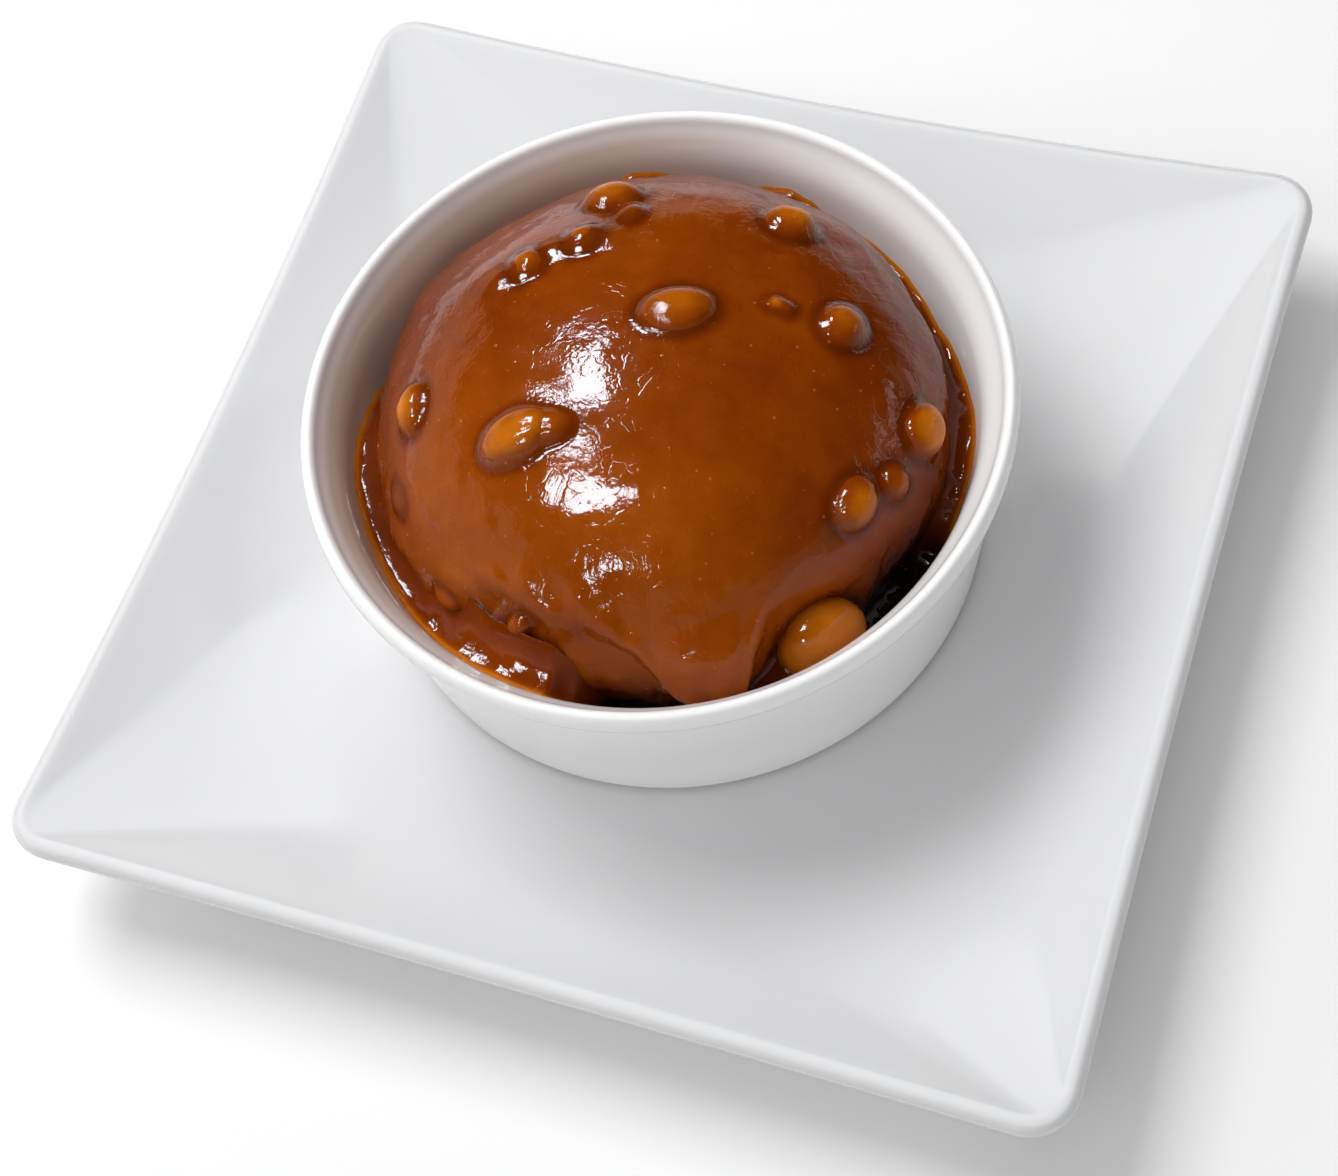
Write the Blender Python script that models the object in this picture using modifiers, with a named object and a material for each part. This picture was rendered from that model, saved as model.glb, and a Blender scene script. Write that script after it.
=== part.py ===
"""A mashed potato side: a round scoop of mash under brown gravy, in a white ramekin on a square plate.

Metres, +Z up. The origin is on the table, under the middle of the plate.
"""

import math

import bmesh
import bpy
from mathutils import Matrix, Vector

MM = 0.001
GAP = 0.3 * MM  # left between pieces that rest on each other

# The square plate: a coupe sheet with a round-edged lip, on a round foot.
PLATE_HALF = 79.9 * MM  # from the middle to the lip's centre line at a corner
PLATE_BOW = 0.95 * MM  # how far the sides draw in at their middle
PLATE_CORNER = 6.0 * MM  # corner radius of the lip's centre line
PLATE_FLAT = 51.5 * MM  # radius of the flat middle
PLATE_THICK = 3.7 * MM
SHEET_TILT = math.radians(34)  # how far the sheet leans on its way up to the lip
RISE_POWER = 1.45  # how late the sheet rises between the flat middle and the lip
ROUND_TO_SQUARE_POWER = 0.8  # how early its rings turn from round to square
WELL_Z = 6.2 * MM  # the flat middle's height above the table
LIP_RISE = 13.1 * MM  # the lip's centre line above the sheet's middle layer, halfway along a side
CORNER_RISE = 2.1 * MM  # how much higher the corners are
FOOT_OUT = 46.0 * MM
FOOT_IN = 41.5 * MM
FOOT_EDGE = 0.6 * MM  # bevel of the foot's standing edges
FOOT_FLARE = 1.2 * MM  # how much wider the foot is where it joins the sheet
TILT_REACHED = 0.625  # the share of the way to the lip where the sheet leans fully
SIDE_STEPS = 7  # points along a side of each ring
CORNER_STEPS = 6

# The ramekin, turned about its own upright axis.
RAMEKIN_X = -2.8 * MM
RAMEKIN_Y = 4.4 * MM
RAMEKIN_TOP = 36.3 * MM
RIM_HALF_THICK = 1.3 * MM
RIM_HALF_TALL = 2.2 * MM
RIM_OUT = 53.6 * MM
BASE_OUT = 47.7 * MM
BASE_ROUND = 1.4 * MM  # radius of the base's edge
BASE_BAND = 6.5 * MM  # width of the unglazed ring it stands on
BASE_HOLLOW = 0.9 * MM  # depth of the hollow inside that ring
WALL_UNDER_RIM = 51.9 * MM
UNDER_RIM = 30.6 * MM  # height where the straight outer wall ends
INSIDE_STRAIGHT_TOP = 28.5 * MM  # height where the straight inner wall ends and flares to the rim
INSIDE_AT_STRAIGHT_TOP = 47.7 * MM
FLARE = ((48.55 * MM, 31.0 * MM), (49.75 * MM, 32.9 * MM))  # radius and height of points up the flare
INSIDE_AT_FLOOR = 43.6 * MM
FLOOR_THICK = 4.6 * MM
FLOOR_FILLET = 5.0 * MM
TURN_STEPS = 50

# The scoop of mash under its gravy: a dome whose sides draw in below its widest ring.
MOUND_RADIUS = 42.8 * MM
MOUND_WIDEST = 25.0 * MM  # the widest ring's height above the plate's flat middle
MOUND_CROWN = 28.3 * MM  # from the widest ring up to the crown
MOUND_DRAW_IN = 38.0 * MM  # half height of the ellipse that the lower sides follow
MOUND_SLICES = 48
MOUND_RINGS_UP = 10
MOUND_RINGS_DOWN = 3

# The gravy that ran down and stands between the mound and the wall: angle round the bowl in degrees and
# height above the ramekin's base in millimetres. It is low in the open gaps at the front and front right.
POOL_LEVELS = (
    (0, 20.5), (6, 24.4), (13, 25.4), (24, 23.7), (33, 22.5), (42, 21.8), (56, 23.4), (70, 24.4), (76, 25.2),
    (83, 27.0), (91, 25.2), (103, 26.6), (112, 27.9), (122, 26.4), (140, 25.0), (153, 25.6), (168, 24.3),
    (177, 22.0), (184, 24.2), (195, 26.2), (206, 26.6), (218, 25.2), (230, 24.6), (243, 26.4), (256, 28.0),
    (268, 27.2), (274, 19.0), (278, 12.0), (294, 12.0), (302, 21.0), (327, 21.0), (334, 12.0), (347, 12.0),
    (360, 20.5),
)

# Pieces under the gravy: name, angle about the mound's axis in degrees, distance from that axis,
# heading of the long side in degrees, half length, half width, half height, depth sunk in the mash.
PIECES = (
    ("piece_crown", 48, 6.4 * MM, 25, 5.6 * MM, 3.9 * MM, 2.9 * MM, 0.6 * MM),
    ("piece_back_left", 118.5, 29.4 * MM, 40, 5.0 * MM, 4.3 * MM, 3.5 * MM, 0.6 * MM),
    ("piece_back_middle", 133, 20.5 * MM, 45, 3.2 * MM, 2.8 * MM, 2.6 * MM, 0.4 * MM),
    ("piece_left_upper", 156, 23.1 * MM, 65, 3.1 * MM, 2.8 * MM, 2.5 * MM, 0.4 * MM),
    ("piece_back_right", 65, 31.0 * MM, 0, 4.4 * MM, 4.0 * MM, 3.7 * MM, 0.6 * MM),
    ("piece_right_upper", 24.6, 28.8 * MM, 60, 4.1 * MM, 3.7 * MM, 3.1 * MM, 0.6 * MM),
    ("piece_right", 5.6, 39.8 * MM, 90, 4.4 * MM, 4.2 * MM, 3.8 * MM, 0.6 * MM),
    ("piece_right_lower", -19.2, 36.9 * MM, 70, 4.2 * MM, 3.5 * MM, 3.2 * MM, 0.6 * MM),
    ("piece_right_small", -8.6, 39.0 * MM, 90, 2.7 * MM, 2.8 * MM, 2.6 * MM, 0.6 * MM),
    ("piece_left_long", -124, 22.4 * MM, 37, 6.1 * MM, 3.9 * MM, 3.3 * MM, 0.7 * MM),
    ("piece_left_small", -156.3, 34.8 * MM, 90, 4.3 * MM, 3.1 * MM, 3.0 * MM, 0.5 * MM),
)
# The big piece that has slid down to the wall.
WALL_PIECE = (32.3 * MM, -25.3 * MM, 22.8 * MM)  # from the ramekin's axis, and above the flat middle
WALL_PIECE_HALF = (7.2 * MM, 5.0 * MM, 5.9 * MM)
WALL_PIECE_HEADING = 51


def clear_scene():
    for obj in list(bpy.data.objects):
        bpy.data.objects.remove(obj, do_unlink=True)


def new_collection(name):
    collection = bpy.data.collections.new(name)
    bpy.context.scene.collection.children.link(collection)
    return collection


def finish(name, colour, roughness):
    material = bpy.data.materials.new(name)
    material.use_nodes = True
    shader = material.node_tree.nodes["Principled BSDF"]
    shader.inputs["Base Color"].default_value = (*colour, 1.0)
    shader.inputs["Roughness"].default_value = roughness
    shader.inputs["Metallic"].default_value = 0.0
    return material


def add_object(name, bm, collection, material):
    """A mesh object from bm, smooth except along its sharp edges."""
    bmesh.ops.remove_doubles(bm, verts=bm.verts, dist=0.002 * MM)
    bmesh.ops.recalc_face_normals(bm, faces=bm.faces)
    mesh = bpy.data.meshes.new(name)
    bm.to_mesh(mesh)
    bm.free()
    mesh.shade_smooth()
    mesh.set_sharp_from_angle(angle=math.radians(40))
    obj = bpy.data.objects.new(name, mesh)
    collection.objects.link(obj)
    if material:
        mesh.materials.append(material)
    return obj


def smooth_step(value):
    value = min(max(value, 0.0), 1.0)
    return value * value * (3.0 - 2.0 * value)


def loft(rings):
    """A closed bmesh through rings of equally many points, with a fan over each end."""
    bm = bmesh.new()
    rows = [[bm.verts.new(point) for point in ring] for ring in rings]
    count = len(rows[0])
    for upper, lower in zip(rows, rows[1:]):
        for i in range(count):
            j = (i + 1) % count
            bm.faces.new((upper[i], lower[i], lower[j], upper[j]))
    for row in (rows[0], rows[-1]):
        middle = sum((v.co for v in row), Vector()) / count
        hub = bm.verts.new(middle)
        for i in range(count):
            bm.faces.new((hub, row[i], row[(i + 1) % count]))
    return bm


# ---------------------------------------------------------------- plate


def plate_outline(half, corner, bow):
    """Points (x, y, cornerness) of a square with rounded corners, its sides drawn in by bow."""
    points = []
    straight = half - corner
    for quarter in range(4):
        turn = Matrix.Rotation(quarter * math.pi / 2, 2)
        for i in range(SIDE_STEPS):
            along = -1.0 + 2.0 * i / SIDE_STEPS
            draw = bow * (1.0 - (along * straight / half) ** 2)
            points.append((turn @ Vector((half - draw, along * straight)), abs(along) * straight / half))
        for i in range(CORNER_STEPS):
            angle = math.pi / 2 * i / CORNER_STEPS
            x = straight + corner * math.cos(angle)
            y = straight + corner * math.sin(angle)
            nearness = max(abs(x), abs(y)) / half
            middle = min(abs(x), abs(y)) / half
            draw = bow * (1.0 - middle**2) * nearness
            shift = Vector((draw * math.cos(angle) ** 4, draw * math.sin(angle) ** 4))
            points.append((turn @ (Vector((x, y)) - shift), middle))
    return points


def sheet_ring(reach, offset_out, offset_up):
    """A ring of the plate's sheet. reach runs from 0 at the flat middle to 1 at the lip's centre line."""
    half = PLATE_FLAT + (PLATE_HALF - PLATE_FLAT) * reach
    corner = half + (PLATE_CORNER - half) * reach**ROUND_TO_SQUARE_POWER
    height = WELL_Z - PLATE_THICK / 2 + LIP_RISE * reach**RISE_POWER
    ring = []
    for place, cornerness in plate_outline(half + offset_out, corner + offset_out, PLATE_BOW * reach):
        rise = CORNER_RISE * reach * cornerness**2
        ring.append((place.x, place.y, height + rise + offset_up))
    return ring


def circle_ring(radius, height):
    """A round ring whose points match those of plate_outline."""
    return [(place.x, place.y, height) for place, _ in plate_outline(radius, radius, 0.0)]


def make_plate(collection, material):
    thick = PLATE_THICK / 2
    reaches = (0.0, 0.12, 0.28, 0.46, 0.64, 0.82, 0.95)
    rings = [circle_ring(PLATE_FLAT * 0.5, WELL_Z)]
    for reach in reaches:
        tilt = SHEET_TILT * smooth_step(reach / TILT_REACHED)
        rings.append(sheet_ring(reach, -thick * math.sin(tilt), thick * math.cos(tilt)))
    for degrees in (114, 84, 50, 15, -20, -52):
        turn = math.radians(degrees)
        rings.append(sheet_ring(1.0, thick * math.cos(turn), thick * math.sin(turn)))
    for reach in reversed(reaches):
        tilt = SHEET_TILT * smooth_step(reach / TILT_REACHED)
        rings.append(sheet_ring(reach, thick * math.sin(tilt), -thick * math.cos(tilt)))
    under = WELL_Z - PLATE_THICK
    rings.append(circle_ring(FOOT_OUT + FOOT_FLARE, under))
    rings.append(circle_ring(FOOT_OUT, FOOT_EDGE))
    rings.append(circle_ring(FOOT_OUT - FOOT_EDGE, 0.0))
    rings.append(circle_ring(FOOT_IN + FOOT_EDGE, 0.0))
    rings.append(circle_ring(FOOT_IN, FOOT_EDGE))
    rings.append(circle_ring(FOOT_IN - FOOT_FLARE, under))
    return add_object("plate", loft(rings), collection, material)


# ---------------------------------------------------------------- ramekin


def arc(centre, wide, tall, start, end, steps):
    """Points (r, z) of an elliptical arc in the turned section, from start to end degrees."""
    points = []
    for i in range(steps + 1):
        angle = math.radians(start + (end - start) * i / steps)
        points.append((centre[0] + wide * math.cos(angle), centre[1] + tall * math.sin(angle)))
    return points


def ramekin_inside(height):
    """The inner wall's radius below the flare, at a height above the ramekin's own base."""
    wall_start = FLOOR_THICK + FLOOR_FILLET
    if height < wall_start:
        drop = min(wall_start - height, FLOOR_FILLET)
        return INSIDE_AT_FLOOR - FLOOR_FILLET + math.sqrt(FLOOR_FILLET**2 - drop**2)
    share = (height - wall_start) / (INSIDE_STRAIGHT_TOP - wall_start)
    return INSIDE_AT_FLOOR + (INSIDE_AT_STRAIGHT_TOP - INSIDE_AT_FLOOR) * share


def ramekin_profile():
    """The section, from the middle of the floor up the inside, over the rim and down to the foot."""
    rim = (RIM_OUT - RIM_HALF_THICK, RAMEKIN_TOP - RIM_HALF_TALL)
    fillet = (INSIDE_AT_FLOOR - FLOOR_FILLET, FLOOR_THICK + FLOOR_FILLET)
    points = [(0.0, FLOOR_THICK)]
    points += arc(fillet, FLOOR_FILLET, FLOOR_FILLET, -90, 0, 4)
    points.append((INSIDE_AT_STRAIGHT_TOP, INSIDE_STRAIGHT_TOP))
    points += FLARE
    points += arc(rim, RIM_HALF_THICK, RIM_HALF_TALL, 170, -50, 7)
    points.append((WALL_UNDER_RIM, UNDER_RIM))
    points += arc((BASE_OUT - BASE_ROUND, BASE_ROUND), BASE_ROUND, BASE_ROUND, 0, -90, 3)
    points.append((BASE_OUT - BASE_BAND, 0.0))
    points.append((BASE_OUT - BASE_BAND - BASE_HOLLOW, BASE_HOLLOW))
    points.append((0.0, BASE_HOLLOW))
    return points


def make_ramekin(collection, material):
    profile = [(r, z + GAP + WELL_Z) for r, z in ramekin_profile()]
    bm = bmesh.new()
    verts = [bm.verts.new((r, 0.0, z)) for r, z in profile]
    for start, end in zip(verts, verts[1:]):
        bm.edges.new((start, end))
    mesh = bpy.data.meshes.new("ramekin")
    bm.to_mesh(mesh)
    bm.free()
    obj = bpy.data.objects.new("ramekin", mesh)
    obj.location = (RAMEKIN_X, RAMEKIN_Y, 0.0)
    collection.objects.link(obj)
    mesh.materials.append(material)
    screw = obj.modifiers.new("turn", "SCREW")
    screw.steps = screw.render_steps = TURN_STEPS
    screw.use_merge_vertices = True
    screw.merge_threshold = 0.01 * MM
    screw.use_normal_calculate = True
    screw.use_smooth_shade = True
    return obj


# ---------------------------------------------------------------- mash and gravy


def bell(angle, degrees, width):
    """1 at a direction, falling to 0 away from it over about width radians."""
    away = (angle - math.radians(degrees) + math.pi) % (2 * math.pi) - math.pi
    return math.exp(-((away / width) ** 2))


def mound_swell(angle, grow_down):
    """How far the mound stands out of round at an angle, fuller at the back, with folds towards its foot."""
    slow = 0.45 * math.sin(2 * angle + 0.6) + 0.32 * math.sin(3 * angle - 1.1)
    full = 1.7 * bell(angle, 115, 0.95)
    folds = 0.3 * math.sin(7 * angle + 0.4) + 0.25 * math.sin(11 * angle + 2.0)
    lobe = 1.5 * bell(angle, -59, 0.13)
    seat = 4.2 * bell(angle, -39, 0.19) * grow_down**6  # drawn in where the big piece lies
    return (slow + full + (folds + lobe) * grow_down - seat) * MM


def mound_point(angle, up, grow=0.0):
    """A point of the mound's skin. up runs from 1 at the crown through 0 at the widest ring to -1."""
    bend = up * math.pi / 2
    if up >= 0:
        radius = (MOUND_RADIUS + grow) * math.cos(bend)
        height = (MOUND_CROWN + grow) * math.sin(bend)
    else:
        floor = FLOOR_THICK + 2 * GAP
        height = (MOUND_WIDEST - floor) * up
        radius = (MOUND_RADIUS + grow) * math.sqrt(1.0 - (height / MOUND_DRAW_IN) ** 2)
        height -= grow
    radius += mound_swell(angle, smooth_step(1.0 - up)) * math.cos(min(bend, math.pi / 2)) ** 2
    return Vector(
        (
            RAMEKIN_X + radius * math.cos(angle),
            RAMEKIN_Y + radius * math.sin(angle),
            WELL_Z + MOUND_WIDEST + height,
        )
    )


def mound_rings(grow=0.0):
    ups = [1.0 - (i + 0.5) / MOUND_RINGS_UP for i in range(MOUND_RINGS_UP)]
    ups += [-i / MOUND_RINGS_DOWN for i in range(MOUND_RINGS_DOWN + 1)]
    angles = [2 * math.pi * i / MOUND_SLICES for i in range(MOUND_SLICES)]
    return [[mound_point(angle, up, grow) for angle in angles] for up in ups]


def make_mound(collection, material, cutters):
    mound = add_object("mash_mound", loft(mound_rings()), collection, material)
    carve = mound.modifiers.new("seats of the pieces", "BOOLEAN")
    carve.operation = "DIFFERENCE"
    carve.operand_type = "COLLECTION"
    carve.collection = cutters
    return mound


def pool_level(angle):
    """The gravy's height above the ramekin's base at an angle."""
    degrees = math.degrees(angle) % 360.0
    for (start, low), (end, high) in zip(POOL_LEVELS, POOL_LEVELS[1:]):
        if degrees <= end:
            break
    share = smooth_step((degrees - start) / (end - start))
    return (low + (high - low) * share) * MM


def pool_ring(share, inner=0.0):
    """A ring down the gravy's outside at a share of its depth, or round its top at the inner radius."""
    floor = FLOOR_THICK + GAP
    ring = []
    for i in range(TURN_STEPS):
        angle = 2 * math.pi * i / TURN_STEPS
        height = floor + (pool_level(angle) - floor) * share
        radius = inner or ramekin_inside(height - GAP) - GAP
        place = (RAMEKIN_X + radius * math.cos(angle), RAMEKIN_Y + radius * math.sin(angle))
        ring.append((*place, WELL_Z + GAP + height))
    return ring


def make_pool(collection, material, cutters):
    rings = [pool_ring(1.0, MOUND_RADIUS * 0.7)]
    rings += [pool_ring(share) for share in (1.0, 0.7, 0.4, 0.2, 0.1, 0.0)]
    pool = add_object("gravy_pool", loft(rings), collection, material)
    carve = pool.modifiers.new("mound and pieces", "BOOLEAN")
    carve.operation = "DIFFERENCE"
    carve.operand_type = "COLLECTION"
    carve.collection = cutters
    return pool


# ---------------------------------------------------------------- pieces under the gravy


def piece_frame(degrees, distance, heading, lift):
    """The placing of a piece: its Z along the mound's normal, its X along the heading."""
    angle = math.radians(degrees)
    radius = distance
    height = MOUND_CROWN * math.sqrt(max(1.0 - (radius / MOUND_RADIUS) ** 2, 0.0))
    normal = Vector((radius / MOUND_RADIUS**2, 0.0, height / MOUND_CROWN**2)).normalized()
    normal.rotate(Matrix.Rotation(angle, 3, "Z"))
    along = Vector((math.cos(math.radians(heading)), math.sin(math.radians(heading)), 0.0))
    along = (along - normal * along.dot(normal)).normalized()
    across = normal.cross(along)
    place = Vector((RAMEKIN_X, RAMEKIN_Y, WELL_Z + MOUND_WIDEST))
    place += Vector((radius * math.cos(angle), radius * math.sin(angle), height)) + normal * lift
    frame = Matrix((along, across, normal)).transposed().to_4x4()
    frame.translation = place
    return frame


def morsel(half, grow, seed):
    """A rounded lump with a slightly uneven skin, about its own middle."""
    bm = bmesh.new()
    bmesh.ops.create_uvsphere(bm, u_segments=11, v_segments=6, radius=1.0)
    for vert in bm.verts:
        x, y, z = vert.co
        uneven = 1.0 + 0.05 * math.sin(2.3 * x + seed) * math.cos(1.9 * y - seed)
        uneven += 0.04 * math.sin(3 * z + 2 * seed)
        vert.co = Vector([c * uneven * (h + grow) for c, h in zip((x, y, z), half)])
    return bm


def make_piece(name, frame, half, seed, parts, cutters, material):
    bm = morsel(half, 0.0, seed)
    bm.transform(frame)
    add_object(name, bm, parts, material)
    for collection in cutters:
        cut = morsel(half, GAP, seed)
        cut.transform(frame)
        add_cutter(f"{name}_{collection.name}", cut, collection)


def add_cutter(name, bm, collection):
    cutter = add_object(name, bm, collection, None)
    cutter.hide_render = True
    cutter.display_type = "WIRE"
    return cutter


def make_pieces(parts, mound_cutters, pool_cutters, material):
    for seed, (name, degrees, distance, heading, *half, sunk) in enumerate(PIECES):
        frame = piece_frame(degrees, distance, heading, -sunk)
        make_piece(name, frame, half, seed, parts, [mound_cutters], material)
    frame = Matrix.Rotation(math.radians(WALL_PIECE_HEADING), 4, "Z")
    frame.translation = Vector(WALL_PIECE) + Vector((RAMEKIN_X, RAMEKIN_Y, WELL_Z))
    seed = len(PIECES)
    make_piece("piece_at_wall", frame, WALL_PIECE_HALF, seed, parts, [mound_cutters, pool_cutters], material)


def main():
    clear_scene()
    parts = new_collection("mashed_potato_side")
    mound_cutters = new_collection("mound_cutters")
    pool_cutters = new_collection("pool_cutters")
    for collection in (mound_cutters, pool_cutters):
        collection.hide_render = True
    plate_glaze = finish("plate_glaze", (0.72, 0.73, 0.76), 0.22)
    ramekin_glaze = finish("ramekin_glaze", (0.86, 0.86, 0.86), 0.18)
    gravy = finish("gravy", (0.27, 0.075, 0.008), 0.15)
    gravy_pool = finish("gravy_deep", (0.16, 0.045, 0.006), 0.12)
    piece_coat = finish("gravy_on_pieces", (0.42, 0.13, 0.012), 0.15)
    make_plate(parts, plate_glaze)
    make_ramekin(parts, ramekin_glaze)
    make_pieces(parts, mound_cutters, pool_cutters, piece_coat)
    make_mound(parts, gravy, mound_cutters)
    add_cutter("mound_space", loft(mound_rings(GAP)), pool_cutters)
    make_pool(parts, gravy_pool, pool_cutters)


main()
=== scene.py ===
"""The looks of a mashed potato side: a round scoop of mash under brown gravy, in a white ramekin on a
square plate.

Metres, +Z up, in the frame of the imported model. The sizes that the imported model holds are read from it.
"""

import math

import bmesh
import bpy
import numpy as np
from mathutils import Matrix, Vector, noise


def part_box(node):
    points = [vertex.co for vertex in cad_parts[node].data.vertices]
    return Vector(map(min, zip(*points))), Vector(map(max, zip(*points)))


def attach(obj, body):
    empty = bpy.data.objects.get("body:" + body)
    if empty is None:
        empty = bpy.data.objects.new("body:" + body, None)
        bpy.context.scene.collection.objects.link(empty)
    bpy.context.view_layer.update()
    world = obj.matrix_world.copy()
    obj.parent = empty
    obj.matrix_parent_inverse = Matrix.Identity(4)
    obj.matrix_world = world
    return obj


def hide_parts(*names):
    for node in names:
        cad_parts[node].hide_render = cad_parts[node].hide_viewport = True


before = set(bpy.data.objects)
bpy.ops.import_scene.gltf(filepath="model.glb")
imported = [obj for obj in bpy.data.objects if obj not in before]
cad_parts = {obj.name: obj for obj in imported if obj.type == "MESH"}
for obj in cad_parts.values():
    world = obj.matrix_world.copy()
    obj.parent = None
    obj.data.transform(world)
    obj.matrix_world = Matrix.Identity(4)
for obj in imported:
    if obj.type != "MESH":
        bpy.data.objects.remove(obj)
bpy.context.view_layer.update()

MM = 0.001
GAP = 0.3 * MM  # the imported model's gap between pieces that rest on each other
MERGE = 0.001 * MM  # points closer than this are one point
FAR = 1.0  # further than anything on the piece

# ---------------------------------------------------------------- sizes

PLATE_LOW, PLATE_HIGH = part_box("plate")
RAMEKIN_LOW, RAMEKIN_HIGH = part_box("ramekin")

# The plate, a coupe sheet with a round-edged lip, on a round foot.
PLATE_THICK = 3.7 * MM
PLATE_BOW = 0.95 * MM  # how far the sides draw in at their middle
PLATE_DRAW_AT_CORNER = 0.13 * MM  # what is left of that where the corner's arc starts
PLATE_HALF = (PLATE_HIGH.x - PLATE_LOW.x - PLATE_THICK) / 2 + PLATE_DRAW_AT_CORNER
PLATE_CORNER = 6.0 * MM
PLATE_FLAT = 51.5 * MM  # radius of the flat middle
LIP_RISE = 13.1 * MM  # from the flat middle up to the lip at the middle of a side
CORNER_RISE = 2.1 * MM  # how much more the corners rise
FOOT_OUT = 46.0 * MM
FOOT_IN = 41.5 * MM
FOOT_EDGE = 0.6 * MM  # rounding of the foot's two edges
FOOT_FLARE = 1.2 * MM  # how far the foot spreads where it meets the sheet
SHEET_TILT = math.radians(34)
WELL_Z = RAMEKIN_LOW.z - GAP  # the flat middle's height above the table
PLATE_UNDER = WELL_Z - PLATE_THICK  # height of the sheet's underside inside and outside the foot

# The ramekin, turned about its own upright axis.
AXIS = (RAMEKIN_LOW + RAMEKIN_HIGH) / 2
RAMEKIN_BASE = RAMEKIN_LOW.z
RAMEKIN_TOP = RAMEKIN_HIGH.z - RAMEKIN_BASE
RIM_OUT = (RAMEKIN_HIGH.x - RAMEKIN_LOW.x) / 2
RIM_HALF_THICK = 1.3 * MM
RIM_HALF_TALL = 2.2 * MM
BASE_OUT = 47.7 * MM
BASE_ROUND = 1.4 * MM
BASE_BAND = 6.5 * MM  # width of the ring that it stands on
BASE_HOLLOW = 0.9 * MM  # how far the base inside that ring is hollowed
WALL_UNDER_RIM = 51.9 * MM  # outer radius where the rim starts
UNDER_RIM = 30.6 * MM  # height where the rim starts
INSIDE_STRAIGHT_TOP = 28.5 * MM
INSIDE_AT_STRAIGHT_TOP = 47.7 * MM
INSIDE_AT_FLOOR = 43.6 * MM
FLOOR_THICK = 4.6 * MM
FLOOR_FILLET = 5.0 * MM
UNDER_BEAD = ((52.55, 31.75), (52.2, 31.3), (52.0, 30.9))  # radius and height in millimetres

# The scoop under its coat of gravy.
MOUND_RADIUS = 42.8 * MM
MOUND_WIDEST = WELL_Z + 25.0 * MM  # height of the widest ring
MOUND_CROWN = 28.3 * MM  # from the widest ring up to the crown
MOUND_DRAW_IN = 38.0 * MM  # half height of the ellipse that the lower sides follow
MOUND_FOOT = WELL_Z + FLOOR_THICK + 3 * GAP
COAT_RINGS = 149  # quads from the crown to the foot
COAT_TO_WALL = 0.08 * MM  # the least gap between the coat and the ramekin

# The gravy that ran down and stands between the mound and the wall: angle round the bowl in degrees and
# height of its edge above the ramekin's base in millimetres.
POOL_LEVELS = (
    (0, 20.0), (3, 22.4), (7, 24.6), (13, 25.4), (18, 24.9), (24, 23.7), (30, 22.7), (36, 22.4), (42, 21.6),
    (49, 22.6), (56, 23.6), (69, 24.3), (75, 24.8), (79, 26.1), (83, 27.0), (87, 26.4), (92, 25.2),
    (99, 25.2), (105, 26.6), (110, 27.9), (114, 28.2), (119, 26.6), (130, 25.0), (150, 25.4), (155, 25.6),
    (161, 24.6), (170, 24.3), (176, 21.8), (180, 22.6), (184, 24.2), (190, 25.2), (197, 26.4), (206, 26.7),
    (214, 25.8), (222, 24.8), (230, 24.6), (240, 25.8), (250, 27.4), (260, 28.2), (267, 27.8), (271, 24.0),
    (276, 9.0), (296, 8.0), (302, 20.5), (312, 22.0), (327, 21.5), (333, 9.0), (348, 8.0), (355, 13.0),
    (360, 20.0),
)
POOL_TO_WALL = 0.05 * MM  # the gap between the pool and the ramekin
POOL_IN_MOUND = 1.6 * MM  # how far the pool runs in under the mound's skin

# The fold line, where the thick skin ends at the front: angle in degrees and height above the widest
# ring in millimetres.
FOLD_LINE = (
    (225, 3.0), (240, 7.0), (252, 12.0), (260, 13.5), (266, 12.0), (273, 12.8), (280, 10.5), (286, 7.0),
    (291, 1.5), (296, -2.0), (302, -1.0), (307, 6.0), (313, 10.0), (322, 12.0), (340, 10.5),
)

# Pieces under the gravy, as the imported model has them: angle about the mound's axis in degrees, distance
# from it, heading of the long side in degrees, half length, width and height, depth sunk in the mash.
# Their lengths are in millimetres.
PIECES = {
    "piece_crown": (48, 6.4, 25, 5.6, 3.9, 2.9, 0.6),
    "piece_back_left": (118.5, 29.4, 40, 5.0, 4.3, 3.5, 0.6),
    "piece_back_middle": (133, 20.5, 45, 3.2, 2.8, 2.6, 0.4),
    "piece_left_upper": (156, 23.1, 65, 3.1, 2.8, 2.5, 0.4),
    "piece_back_right": (65, 31.0, 0, 4.4, 4.0, 3.7, 0.6),
    "piece_right_upper": (24.6, 28.8, 60, 4.1, 3.7, 3.1, 0.6),
    "piece_right": (5.6, 39.8, 90, 4.4, 4.2, 3.8, 0.6),
    "piece_right_lower": (-19.2, 36.9, 70, 4.2, 3.5, 3.2, 0.6),
    "piece_right_small": (-8.6, 39.0, 90, 2.7, 2.8, 2.6, 0.6),
    "piece_left_long": (-124, 22.4, 37, 6.1, 3.9, 3.3, 0.7),
    "piece_left_small": (-156.3, 34.8, 90, 4.3, 3.1, 3.0, 0.5),
}
WALL_PIECE_HALF = (7.2 * MM, 5.0 * MM, 5.9 * MM)
WALL_PIECE_HEADING = 51
LUMP_BLEND = 1.35 * MM  # how widely the skin rounds into the lumps

# The pale fleck near the crown: angle in degrees and distance from the axis in millimetres.
FLECK = (33, 20.1)

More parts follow.
